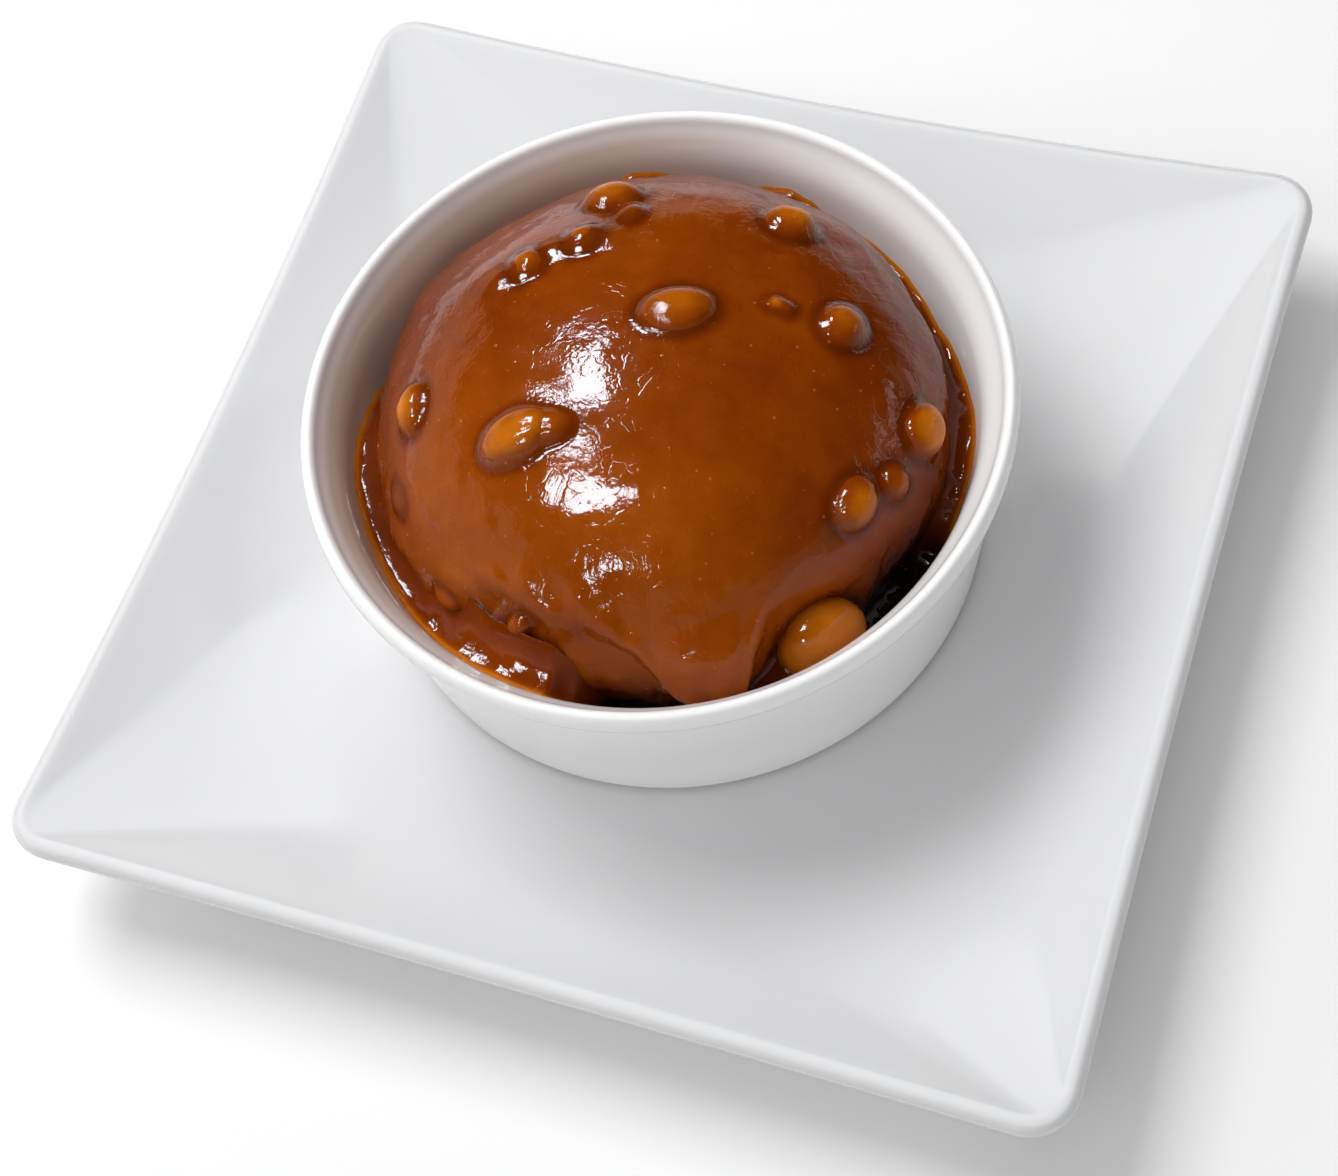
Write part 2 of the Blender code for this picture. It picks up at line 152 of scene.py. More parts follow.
# Lumps too small for a solid of their own, written as the pieces are. The last two are in the fleck.
SMALL_LUMPS = (
    (-141, 40.2, 110, 2.6, 1.7, 1.3, 0.5),
    (-120, 42.4, 140, 2.2, 1.4, 1.2, 0.5),
    (-101, 41.0, 60, 1.9, 1.3, 1.1, 0.5),
    (100, 41.0, 10, 2.6, 2.0, 1.6, 0.6),
    (172, 41.5, 90, 2.3, 1.6, 1.4, 0.5),
    (142, 40.6, 50, 2.8, 1.9, 1.5, 0.6),
    (-114.5, 18.2, 20, 2.9, 2.3, 2.2, 0.5),
    (113, 24.2, 100, 2.6, 2.0, 1.7, 0.5),
    (*FLECK, 40, 1.1, 0.8, 0.75, 0.1),
    (30, 21.6, 80, 0.7, 0.5, 0.55, 0.1),
)

# Broad swells of the gravy: angle in degrees, then distance from the axis, radius and height in
# millimetres.
SWELLS = (
    (-69, 24.0, 5.0, 0.35),
    (-30, 20.0, 7.0, 0.30),
    (20, 12.0, 6.0, 0.20),
    (-150, 27.0, 4.0, 0.30),
)

# ---------------------------------------------------------------- small helpers


def smooth_step(value):
    """0 below 0, 1 above 1 and a smooth rise between."""
    value = np.clip(value, 0.0, 1.0)
    return value * value * (3.0 - 2.0 * value)


def bell(value, width):
    """1 where value is 0, falling away on both sides over about the width."""
    return np.exp(-((value / width) ** 2))


def angle_from(angles, degrees):
    """The signed difference of each angle from a direction, in radians."""
    return (angles - math.radians(degrees) + math.pi) % (2 * math.pi) - math.pi


def from_axis(points):
    """How far points lie from the upright axis: along x, along y and straight out."""
    x, y = points[:, 0] - AXIS.x, points[:, 1] - AXIS.y
    return x, y, np.hypot(x, y)


def round_axis(radius, angle, height):
    """Points at radii, angles and heights about the upright axis."""
    return np.stack([AXIS.x + radius * np.cos(angle), AXIS.y + radius * np.sin(angle), height], -1)


def noise_at(points, scale, offset):
    """Two octaves of Perlin noise, about -1 to 1, at points. scale is the size of its features."""
    shift = Vector((offset, 2.3 * offset, -1.7 * offset))
    return np.array([noise.fractal(Vector(p) / scale + shift, 1.0, 2.0, 2) for p in points])


def scene_object(name, data):
    """A new object, linked into the scene."""
    obj = bpy.data.objects.new(name, data)
    bpy.context.scene.collection.objects.link(obj)
    return obj


def mesh_object(name, points, faces, material):
    """A mesh object with smooth shading and one material."""
    mesh = bpy.data.meshes.new(name)
    mesh.from_pydata(points.tolist(), [], faces)
    mesh.update()
    mesh.shade_smooth()
    mesh.materials.append(material)
    return scene_object(name, mesh)


def turn_outwards(obj):
    """Merges the doubled points of a closed mesh and turns its faces outwards."""
    bm = bmesh.new()
    bm.from_mesh(obj.data)
    bmesh.ops.remove_doubles(bm, verts=bm.verts, dist=MERGE)
    bmesh.ops.recalc_face_normals(bm, faces=bm.faces)
    bm.to_mesh(obj.data)
    bm.free()


def store(obj, name, values):
    """A named number for each vertex, for the materials."""
    attribute = obj.data.attributes.new(name, "FLOAT", "POINT")
    attribute.data.foreach_set("value", np.asarray(values, np.float32))


def store_vector(obj, name, values):
    """A named vector for each vertex, for the materials."""
    attribute = obj.data.attributes.new(name, "FLOAT_VECTOR", "POINT")
    attribute.data.foreach_set("vector", np.asarray(values, np.float32).reshape(-1))


def loft_faces(rows, count):
    """Quads through rows of count points each, joined round."""
    row, i = np.meshgrid(np.arange(rows - 1), np.arange(count), indexing="ij")
    j = (i + 1) % count
    this, following = row * count, (row + 1) * count
    return np.stack([this + i, following + i, following + j, this + j], -1).reshape(-1, 4).tolist()


def fan_faces(hub, ring):
    """Triangles from a hub vertex to a closed ring of vertices."""
    return [[hub, a, b] for a, b in zip(ring, ring[1:] + ring[:1])]


class Tree:
    """Adds nodes to a node tree and joins them by their sockets."""

    def __init__(self, tree):
        self.tree = tree
        tree.nodes.clear()

    def add(self, kind, inputs=None, **settings):
        node = self.tree.nodes.new(kind)
        for name, value in settings.items():
            setattr(node, name, value)
        for key, value in (inputs or {}).items():
            if isinstance(value, bpy.types.NodeSocket):
                self.tree.links.new(value, node.inputs[key])
            else:
                node.inputs[key].default_value = value
        return node

    def place(self):
        """The point that is shaded, in Object coordinates."""
        return self.add("ShaderNodeTexCoord").outputs["Object"]

    def attribute(self, name, output="Fac"):
        return self.add("ShaderNodeAttribute", attribute_name=name).outputs[output]

    def split(self, vector):
        """The outputs X, Y and Z of a vector."""
        return self.add("ShaderNodeSeparateXYZ", {"Vector": vector}).outputs

    def vector(self, operation, *values):
        node = self.add("ShaderNodeVectorMath", dict(enumerate(values)), operation=operation)
        return node.outputs["Value" if operation == "LENGTH" else "Vector"]

    def math(self, operation, first, second=0.0, third=0.0):
        node = self.add("ShaderNodeMath", {0: first, 1: second, 2: third}, operation=operation)
        return node.outputs[0]

    def fit(self, value, low, high, to_low=0.0, to_high=1.0):
        """value from the range low..high moved to to_low..to_high, with a smooth start and end."""
        node = self.add("ShaderNodeMapRange", {
            "Value": value, "From Min": low, "From Max": high, "To Min": to_low, "To Max": to_high,
        }, interpolation_type="SMOOTHSTEP")
        return node.outputs["Result"]

    def noise(self, vector, scale, detail=2.0, roughness=0.5):
        node = self.add("ShaderNodeTexNoise", {
            "Vector": vector, "Scale": scale, "Detail": detail, "Roughness": roughness,
        })
        return node.outputs["Fac"]

    def ramp(self, value, stops):
        node = self.add("ShaderNodeValToRGB", {"Fac": value})
        elements = node.color_ramp.elements
        while len(elements) < len(stops):
            elements.new(0.5)
        for element, (position, colour) in zip(elements, stops):
            element.position = position
            element.color = (*colour, 1.0)
        return node.outputs["Color"]

    def mix(self, factor, first, second):
        node = self.add("ShaderNodeMix", {"Factor": factor}, data_type="RGBA")
        for key, value in (("A_Color", first), ("B_Color", second)):
            socket = next(s for s in node.inputs if s.identifier == key)
            if isinstance(value, bpy.types.NodeSocket):
                self.tree.links.new(value, socket)
            else:
                socket.default_value = (*value, 1.0)
        return next(s for s in node.outputs if s.identifier == "Result_Color")

    def bump(self, height, distance, normal=None):
        inputs = {"Height": height, "Distance": distance, "Strength": 1.0}
        if normal:
            inputs["Normal"] = normal
        return self.add("ShaderNodeBump", inputs).outputs["Normal"]


# ---------------------------------------------------------------- materials


def new_material(name):
    """A material and its emptied node tree."""
    material = bpy.data.materials.new(name)
    material.use_nodes = True
    return material, Tree(material.node_tree)


def close_material(tree, inputs):
    """Ends a material in a Principled BSDF with these inputs."""
    shader = tree.add("ShaderNodeBsdfPrincipled", inputs)
    tree.add("ShaderNodeOutputMaterial", {"Surface": shader.outputs["BSDF"]})


PLATE_WHITE = (0.70, 0.703, 0.715)
RAMEKIN_WHITE = (0.90, 0.90, 0.905)
BARE_CLAY = (0.62, 0.60, 0.56)
# Darker, warm colour for the ramekin's inner wall: painted shade and painted bounce light from the gravy.
SHADE_AND_BOUNCE_WALL = (0.62, 0.50, 0.41)
BARE_HEIGHT = 0.5 * MM  # the unglazed ring ends this far above what the piece stands on
WALL_LEAN = 0.17  # how much the middle of the ramekin's wall moves out for each unit of height
WALL_MIDDLE_AT_BASE = 44.9 * MM


def paint_wall_shade_and_bounce(tree, place, glazed):
    """Tints the ramekin's inner wall darker and warmer, most at the left where it lies in shade: painted
    shade and painted bounce light from the gravy.
    """
    local = tree.vector("SUBTRACT", place, (AXIS.x, AXIS.y, RAMEKIN_BASE))
    parts = tree.split(local)
    radius = tree.vector("LENGTH", tree.vector("MULTIPLY", local, (1.0, 1.0, 0.0)))
    middle = tree.math("MULTIPLY_ADD", parts["Z"], WALL_LEAN, WALL_MIDDLE_AT_BASE)
    inside = tree.fit(tree.math("SUBTRACT", radius, middle), -0.9 * MM, 0.2 * MM, 1.0, 0.0)
    left = tree.math("MULTIPLY", parts["X"], -0.9 / RIM_OUT)
    left = tree.math("MULTIPLY_ADD", parts["Y"], 0.15 / RIM_OUT, left)
    share = tree.math("MULTIPLY", inside, tree.fit(left, -0.25, 0.65))
    return tree.mix(share, glazed, SHADE_AND_BOUNCE_WALL)


def glaze_material(name, colour, bare_below, warm=False):
    """A white glaze with a faint unevenness, left off the ring that the piece stands on."""
    material, tree = new_material(name)
    place = tree.place()
    height = tree.split(place)["Z"]
    slow = tree.noise(place, 22.0, 2.0)
    fine = tree.noise(place, 700.0, 3.0)
    bare = tree.fit(height, bare_below, bare_below + 0.25 * MM, 1.0, 0.0)
    shade = tree.fit(slow, 0.3, 0.7)
    deeper = tuple(c * 0.975 for c in colour)
    glazed = tree.mix(shade, deeper, colour)
    # warm adds painted shade and painted bounce light from the gravy to the inner wall.
    if warm:
        glazed = paint_wall_shade_and_bounce(tree, place, glazed)
    base = tree.mix(bare, glazed, BARE_CLAY)
    gloss = tree.fit(fine, 0.2, 0.8, 0.09, 0.15)
    roughness = tree.math("MULTIPLY_ADD", bare, 0.6, gloss)
    waves = tree.bump(slow, 0.25 * MM)
    grain = tree.bump(tree.math("MULTIPLY", fine, bare), 0.03 * MM, waves)
    close_material(tree, {"Base Color": base, "Roughness": roughness, "Normal": grain, "IOR": 1.5})
    return material


GRAVY_COLOURS = (
    (0.0, (0.010, 0.002, 0.0004)),
    (0.20, (0.080, 0.012, 0.0006)),
    (0.48, (0.180, 0.027, 0.0008)),
    (0.68, (0.290, 0.055, 0.0011)),
    (0.85, (0.430, 0.105, 0.0020)),
    (1.0, (0.580, 0.165, 0.0080)),
)
# The pale colour of the specks: painted glints on small raised grains.
SPECK_AND_GLINT_COLOUR = (0.55, 0.22, 0.05)


def gravy_specks_and_glints(tree, place):
    """A mask of small specks, each kept or left out by its own random colour. The gravy raises these specks
    and paints them pale, and the pale is a painted glint.
    """
    specks = tree.add("ShaderNodeTexVoronoi", {"Vector": place, "Scale": 520.0, "Randomness": 1.0}).outputs
    kept = tree.add("ShaderNodeSeparateColor", {"Color": specks["Color"]}).outputs["Red"]
    small = tree.fit(specks["Distance"], 0.06, 0.16, 1.0, 0.0)
    return tree.math("MULTIPLY", small, tree.fit(kept, 0.72, 0.78))


def gravy_wrinkles(tree, place, medium):
    """The net of fine creases in the gravy's skin, which comes and goes with the medium noise."""
    bent = tree.add("ShaderNodeTexNoise", {"Vector": place, "Scale": 240.0, "Detail": 2.0}).outputs["Color"]
    twisted = tree.vector("MULTIPLY_ADD", bent, (0.006, 0.006, 0.006), place)
    cells = tree.add("ShaderNodeTexVoronoi", {
        "Vector": twisted, "Scale": 330.0, "Randomness": 1.0,
    }, feature="DISTANCE_TO_EDGE")
    wrinkle = tree.fit(cells.outputs["Distance"], 0.0, 0.10)
    return tree.math("MULTIPLY", wrinkle, tree.fit(medium, 0.42, 0.58))


def gravy_material(name):
    """Thick brown gravy. The attribute tone runs from 0 in deep creases and shadowed low places, which carry
    painted shade, to 1 where the coat is thin.
    """
    material, tree = new_material(name)
    place = tree.place()
    slow = tree.noise(place, 55.0, 2.0)
    medium = tree.noise(place, 260.0, 3.0, 0.6)
    streak = tree.noise(tree.attribute("flow", "Vector"), 420.0, 3.0, 0.6)
    grain = tree.noise(place, 1500.0, 2.0, 0.6)
    mottled = tree.math("MULTIPLY_ADD", slow, 0.36, tree.attribute("tone"))
    mottled = tree.math("MULTIPLY_ADD", medium, 0.20, mottled)
    mottled = tree.math("MULTIPLY_ADD", grain, 0.05, mottled)
    mottled = tree.math("ADD", mottled, -0.315)
    speck = gravy_specks_and_glints(tree, place)
    # The specks are mixed towards a pale colour: painted glints on raised grains.
    colour = tree.mix(tree.math("MULTIPLY", speck, 0.35), tree.ramp(mottled, GRAVY_COLOURS), SPECK_AND_GLINT_COLOUR)
    skin = tree.bump(gravy_wrinkles(tree, place, medium), 0.020 * MM)
    skin = tree.bump(tree.noise(place, 480.0, 3.0, 0.65), 0.030 * MM, skin)
    run = tree.math("MULTIPLY", streak, tree.attribute("steep"))
    skin = tree.bump(run, 0.10 * MM, skin)
    skin = tree.bump(grain, 0.016 * MM, skin)
    skin = tree.bump(speck, 0.03 * MM, skin)
    roughness = tree.fit(medium, 0.3, 0.7, 0.055, 0.11)
    close_material(tree, {"Base Color": colour, "Roughness": roughness, "Normal": skin, "IOR": 1.33})
    return material


def fleck_material():
    """Small grains of fat and flour caught in the skin of the gravy."""
    material, tree = new_material("gravy_grains")
    tint = tree.noise(tree.place(), 300.0, 1.0)
    colour = tree.ramp(tint, ((0.35, (0.24, 0.045, 0.002)), (0.65, (0.42, 0.13, 0.02))))
    close_material(tree, {"Base Color": colour, "Roughness": 0.14, "IOR": 1.45})
    return material


def floor_material():
    """A matt white floor with a barely seen cloudiness."""
    material, tree = new_material("white_floor")
    tint = tree.noise(tree.place(), 3.0, 1.0)
    colour = tree.ramp(tint, ((0.3, (0.91, 0.91, 0.91)), (0.7, (0.93, 0.93, 0.93))))
    close_material(tree, {"Base Color": colour, "Roughness": 0.8, "Specular IOR Level": 0.1})
    return material


# ---------------------------------------------------------------- plate

SIDE_STEPS = 56  # points of a ring along each side
CORNER_STEPS = 22  # and round each corner


def plate_outline(half, corner, bow):
    """Points (x, y, cornerness) of a square with rounded corners, its sides drawn in by bow."""
    straight = half - corner
    along = -1.0 + 2.0 * np.arange(SIDE_STEPS) / SIDE_STEPS
    side_x = half - bow * (1.0 - (along * straight / half) ** 2)
    side = np.stack([side_x, along * straight, np.abs(along) * straight / half], -1)
    angle = math.pi / 2 * np.arange(CORNER_STEPS) / CORNER_STEPS
    x = straight + corner * np.cos(angle)
    y = straight + corner * np.sin(angle)
    middle = np.minimum(x, y) / half
    draw = bow * (1.0 - middle**2) * np.maximum(x, y) / half
    rounded = np.stack([x - draw * np.cos(angle) ** 4, y - draw * np.sin(angle) ** 4, middle], -1)
    quarter = np.concatenate([side, rounded])
    points = []
    for turn in range(4):
        c, s = math.cos(turn * math.pi / 2), math.sin(turn * math.pi / 2)
        points.append(np.stack([c * quarter[:, 0] - s * quarter[:, 1],
                                s * quarter[:, 0] + c * quarter[:, 1], quarter[:, 2]], -1))
    return np.concatenate(points)


def sheet_ring(reach, offset_out, offset_up):
    """A ring of the plate's sheet. reach runs from 0 at the flat middle to 1 at the lip's centre line."""
    half = PLATE_FLAT + (PLATE_HALF - PLATE_FLAT) * reach
    corner = half + (PLATE_CORNER - half) * reach**0.8
    height = WELL_Z - PLATE_THICK / 2 + LIP_RISE * reach**1.45
    ring = plate_outline(half + offset_out, corner + offset_out, PLATE_BOW * reach)
    ring[:, 2] = height + CORNER_RISE * reach * ring[:, 2] ** 2 + offset_up
    return ring


def circle_ring(radius, height):
    """A round ring with as many points as a ring of the sheet."""
    ring = plate_outline(radius, radius, 0.0)
    ring[:, 2] = height
    return ring


def sheet_tilt(reach):
    """How far the sheet leans outwards at a reach, in radians."""
    return SHEET_TILT * smooth_step(reach * 1.6)


def foot_section():
    """The underside round the foot that the plate stands on, as (radius, height)."""
    edge, flare = FOOT_EDGE, FOOT_FLARE
    outside = [(FOOT_OUT + 2 * flare, PLATE_UNDER), (FOOT_OUT + flare, PLATE_UNDER - 0.1 * MM),
               (FOOT_OUT + 0.4 * flare, PLATE_UNDER - edge), (FOOT_OUT, edge)]
    standing = [(FOOT_OUT - 0.3 * edge, 0.3 * edge), (FOOT_OUT - edge, 0.0),
                (FOOT_IN + edge, 0.0), (FOOT_IN + 0.3 * edge, 0.3 * edge)]
    inside = [(FOOT_IN, edge), (FOOT_IN - 0.4 * flare, PLATE_UNDER - edge),
              (FOOT_IN - flare, PLATE_UNDER), (FOOT_IN / 2, PLATE_UNDER)]
    return outside + standing + inside


def make_plate(material):
    """The plate, as rings from the middle over the sheet, round the lip and back under it to the foot."""
    thick = PLATE_THICK / 2
    reaches = [(i / 30) ** 0.9 * 0.965 for i in range(31)]
    rings = [circle_ring(PLATE_FLAT * share, WELL_Z) for share in (0.25, 0.5, 0.75, 0.9)]
    for reach in reaches:
        tilt = sheet_tilt(reach)
        rings.append(sheet_ring(reach, -thick * math.sin(tilt), thick * math.cos(tilt)))
    for degrees in range(118, -58, -8):
        turn = math.radians(degrees)
        rings.append(sheet_ring(1.0, thick * math.cos(turn), thick * math.sin(turn)))
    for reach in reversed(reaches[::3]):
        tilt = sheet_tilt(reach)
        rings.append(sheet_ring(reach, thick * math.sin(tilt), -thick * math.cos(tilt)))
    rings += [circle_ring(radius, height) for radius, height in foot_section()]
    count = len(rings[0])
    points = np.concatenate(rings + [[(0, 0, WELL_Z)], [(0, 0, PLATE_UNDER)]])
    faces = loft_faces(len(rings), count)
    last = len(rings) * count
    faces += fan_faces(last, list(range(count)))
    faces += fan_faces(last + 1, list(range(last - count, last)))
    plate = mesh_object("square_plate", points, faces, material)
    turn_outwards(plate)
    return plate


# ---------------------------------------------------------------- ramekin


def arc(centre, wide, tall, start, end, steps):
    """Points (r, z) of an elliptical arc in the turned section, from start to end degrees."""
    angles = np.radians(np.linspace(start, end, steps + 1))
    return [(centre[0] + wide * math.cos(a), centre[1] + tall * math.sin(a)) for a in angles]


def ramekin_inside(height):
    """The inner wall's radius at heights above the ramekin's own base, up to the flare."""
    wall_start = FLOOR_THICK + FLOOR_FILLET
    drop = np.clip(wall_start - height, 0.0, FLOOR_FILLET)
    in_fillet = INSIDE_AT_FLOOR - FLOOR_FILLET + np.sqrt(FLOOR_FILLET**2 - drop**2)
    share = (height - wall_start) / (INSIDE_STRAIGHT_TOP - wall_start)
    straight = INSIDE_AT_FLOOR + (INSIDE_AT_STRAIGHT_TOP - INSIDE_AT_FLOOR) * share
    flare = 0.062 / MM * np.maximum(height - INSIDE_STRAIGHT_TOP, 0.0) ** 2
    return np.where(height < wall_start, in_fillet, straight + flare)


def joining_curve(low, low_slope, high, high_slope, steps):
    """Points between two section points, leaving and arriving at these slopes of radius over height."""
    tall = high[1] - low[1]
    points = []
    for i in range(1, steps):
        t = i / steps
        radius = (2 * t**3 - 3 * t**2 + 1) * low[0] + (3 * t**2 - 2 * t**3) * high[0]
        radius += tall * ((t**3 - 2 * t**2 + t) * low_slope + (t**3 - t**2) * high_slope)
        points.append((radius, low[1] + tall * t))
    return points


def ramekin_section():
    """The section, from the middle of the floor up the inside, over the rim and down to the foot."""
    rim = (RIM_OUT - RIM_HALF_THICK, RAMEKIN_TOP - RIM_HALF_TALL)
    fillet = (INSIDE_AT_FLOOR - FLOOR_FILLET, FLOOR_THICK + FLOOR_FILLET)
    points = [(0.0, FLOOR_THICK), (INSIDE_AT_FLOOR / 2, FLOOR_THICK)]
    points += arc(fillet, FLOOR_FILLET, FLOOR_FILLET, -90, 0, 8)
    heights = np.concatenate([np.linspace(12, 27, 4), np.linspace(28.5, 31.0, 5)]) * MM
    points += [(float(ramekin_inside(z)), float(z)) for z in heights]
    bead = arc(rim, RIM_HALF_THICK, RIM_HALF_TALL, 150, -52, 32)
    points += joining_curve(points[-1], 0.53, bead[0], 0.34, 9) + bead
    points += [(r * MM, z * MM) for r, z in UNDER_BEAD]
    points.append((WALL_UNDER_RIM, UNDER_RIM))
    slope = (WALL_UNDER_RIM - BASE_OUT) / (UNDER_RIM - BASE_ROUND)
    points.append((WALL_UNDER_RIM - slope * 0.8 * MM, UNDER_RIM - 0.8 * MM))
    points.append((BASE_OUT + slope * 1.0 * MM, BASE_ROUND + 1.0 * MM))
    points += arc((BASE_OUT - BASE_ROUND, BASE_ROUND), BASE_ROUND, BASE_ROUND, 0, -90, 7)
    points.append((BASE_OUT - BASE_BAND, 0.0))
    points.append((BASE_OUT - BASE_BAND - BASE_HOLLOW, BASE_HOLLOW))
    points.append((0.0, BASE_HOLLOW))
    return points


TURN_RADIUS = 60.0 * MM  # the guide circle that the section is swept round
TURN_STEPS = 240


def new_group(name, taken, numbers, given):
    """A Geometry Nodes group and its tree: one geometry taken in, named numbers and one geometry given."""
    group = bpy.data.node_groups.new(name, "GeometryNodeTree")
    group.interface.new_socket(taken, in_out="INPUT", socket_type="NodeSocketGeometry")
    for label, value in numbers.items():
        kind = "NodeSocketInt" if isinstance(value, int) else "NodeSocketFloat"
        socket = group.interface.new_socket(label, in_out="INPUT", socket_type=kind)
        socket.default_value = value
    group.interface.new_socket(given, in_out="OUTPUT", socket_type="NodeSocketGeometry")
    return group, Tree(group)


def close_group(tree, given, geometry, material):
    """Ends a group in Realize Instances and Set Material."""
    real = tree.add("GeometryNodeRealizeInstances", {"Geometry": geometry}).outputs["Geometry"]
    painted = tree.add("GeometryNodeSetMaterial", {"Geometry": real, "Material": material})
    tree.add("NodeGroupOutput", {given: painted.outputs["Geometry"]})


def turning_tree(material):
    """Sweeps the incoming section round an upright circle and welds its poles."""
    numbers = {"Steps": TURN_STEPS, "Guide Radius": TURN_RADIUS, "Weld": MERGE}
    group, tree = new_group("turned_section", "Section", numbers, "Turned")
    start = tree.add("NodeGroupInput").outputs
    guide = tree.add("GeometryNodeCurvePrimitiveCircle", {
        "Resolution": start["Steps"], "Radius": start["Guide Radius"],
    })
    section = tree.add("GeometryNodeMeshToCurve", {"Mesh": start["Section"]})
    swept = tree.add("GeometryNodeCurveToMesh", {
        "Curve": guide.outputs["Curve"], "Profile Curve": section.outputs["Curve"],
    })
    welded = tree.add("GeometryNodeMergeByDistance", {
        "Geometry": swept.outputs["Mesh"], "Distance": start["Weld"],
    })
    close_group(tree, "Turned", welded.outputs["Geometry"], material)
    return group


def apply_tree(obj, group, values):
    """Replaces the object's mesh by what its node group makes, with the group's inputs set from values."""
    modifier = obj.modifiers.new("nodes", "NODES")
    modifier.node_group = group
    for item in group.interface.items_tree:
        if item.in_out == "INPUT" and item.name in values:
            modifier[item.identifier] = values[item.name]
    graph = bpy.context.evaluated_depsgraph_get()
    mesh = bpy.data.meshes.new_from_object(obj.evaluated_get(graph))
    mesh.name = obj.name
    obj.modifiers.remove(modifier)
    obj.data = mesh


def make_ramekin(material):
    """The ramekin, its section turned about the upright axis."""
    mesh = bpy.data.meshes.new("ramekin_section")
    points = [(r - TURN_RADIUS, -z, 0.0) for r, z in ramekin_section()]
    mesh.from_pydata(points, [(i, i + 1) for i in range(len(points) - 1)], [])
    ramekin = scene_object("white_ramekin", mesh)
    apply_tree(ramekin, turning_tree(material), {"Steps": TURN_STEPS, "Guide Radius": TURN_RADIUS})
    ramekin.data.transform(Matrix.Translation((AXIS.x, AXIS.y, RAMEKIN_BASE)))
    ramekin.data.shade_smooth()
    turn_outwards(ramekin)
    return ramekin


# ---------------------------------------------------------------- the coat of gravy on the mound


def mound_swell(angle, grow_down):
    """How far the mound stands out of round at an angle, fuller at the back, with folds towards its foot."""
    slow = 0.45 * np.sin(2 * angle + 0.6) + 0.32 * np.sin(3 * angle - 1.1)
    full = 1.7 * bell(angle_from(angle, 115), 0.95)
    folds = 0.3 * np.sin(7 * angle + 0.4) + 0.25 * np.sin(11 * angle + 2.0)
    lobe = 1.5 * bell(angle_from(angle, -59), 0.13)
    seat = 4.2 * bell(angle_from(angle, -39), 0.19) * grow_down**6
    return (slow + full + (folds + lobe) * grow_down - seat) * MM


def mound_surface(angle, up):
    """Points and normals of the mound's skin. up is 1 at the crown, 0 at the widest ring, -1 at the foot."""
    bend = up * math.pi / 2
    drop = (MOUND_WIDEST - MOUND_FOOT) * up
    radius = np.where(up >= 0, MOUND_RADIUS * np.cos(bend),
                      MOUND_RADIUS * np.sqrt(1.0 - (np.minimum(drop, 0.0) / MOUND_DRAW_IN) ** 2))
    height = np.where(up >= 0, MOUND_CROWN * np.sin(bend), drop)
    half_height = np.where(up >= 0, MOUND_CROWN, MOUND_DRAW_IN)
    normal = np.stack([radius / MOUND_RADIUS**2 * np.cos(angle), radius / MOUND_RADIUS**2 * np.sin(angle),
                       height / half_height**2], -1)
    normal /= np.linalg.norm(normal, axis=1)[:, None]
    radius = radius + mound_swell(angle, smooth_step(1.0 - up)) * np.cos(bend) ** 2
    return round_axis(radius, angle, MOUND_WIDEST + height), normal


def disc_grid(rings):
    """A square grid bent into a disc: the angle and ring of each point, its quads and its edge in order."""
    line = np.arange(-rings, rings + 1)
    i, j = np.meshgrid(line, line, indexing="ij")
    i, j = i.ravel().astype(float), j.ravel().astype(float)
    ring = np.maximum(np.abs(i), np.abs(j))
    wide = np.abs(i) >= np.abs(j)
    across = np.where(wide, j / np.where(wide & (i != 0), i, 1.0), i / np.where(~wide, j, 1.0))
    angle = np.where(wide, math.pi / 4 * across + np.where(i < 0, math.pi, 0.0),
                     math.pi / 2 - math.pi / 4 * across + np.where(j < 0, math.pi, 0.0))
    side = 2 * rings + 1
    a, b = np.meshgrid(np.arange(side - 1), np.arange(side - 1), indexing="ij")
    corner = (a * side + b).ravel()
    quads = np.stack([corner, corner + side, corner + side + 1, corner + 1], -1)
    last = side * (side - 1)
    edge = [*range(side - 1), *range(side - 1, last, side)]
    edge += [*range(side * side - 1, last, -1), *range(last, 0, -side)]
    return angle, ring.astype(int), quads.tolist(), edge


def ring_ups(rings):
    """up for each ring, evenly spaced down the skin and wider spaced below the widest ring."""
    ups = np.linspace(1.0, -1.0, 800)
    points, _ = mound_surface(np.zeros_like(ups), ups)
    steps = np.linalg.norm(np.diff(points, axis=0), axis=1)
    steps *= np.where(ups[1:] > -0.1, 1.0, 0.55)
    length = np.concatenate([[0.0], np.cumsum(steps)])
    return np.interp(np.linspace(0.0, length[-1], rings + 1), length, ups)


def piece_frame(degrees, distance, heading, lift):
    """The placing of a piece on the mound: its Z along the mound's normal, its X along the heading."""
    angle = math.radians(degrees)
    height = MOUND_CROWN * math.sqrt(max(1.0 - (distance / MOUND_RADIUS) ** 2, 0.0))
    normal = Vector((distance / MOUND_RADIUS**2, 0.0, height / MOUND_CROWN**2)).normalized()
    normal.rotate(Matrix.Rotation(angle, 3, "Z"))
    along = Vector((math.cos(math.radians(heading)), math.sin(math.radians(heading)), 0.0))
    along = (along - normal * along.dot(normal)).normalized()
    across = normal.cross(along)
    place = Vector((AXIS.x, AXIS.y, MOUND_WIDEST))
    place += Vector((distance * math.cos(angle), distance * math.sin(angle), height)) + normal * lift
    placing = Matrix((along, across, normal)).transposed().to_4x4()
    placing.translation = place
    return placing


def lump(name, numbers):
    """A lump as (node name or None, placing, half sizes)."""
    degrees, distance, heading, *half, sunk = numbers
    return name, piece_frame(degrees, distance * MM, heading, -sunk * MM), [h * MM for h in half]


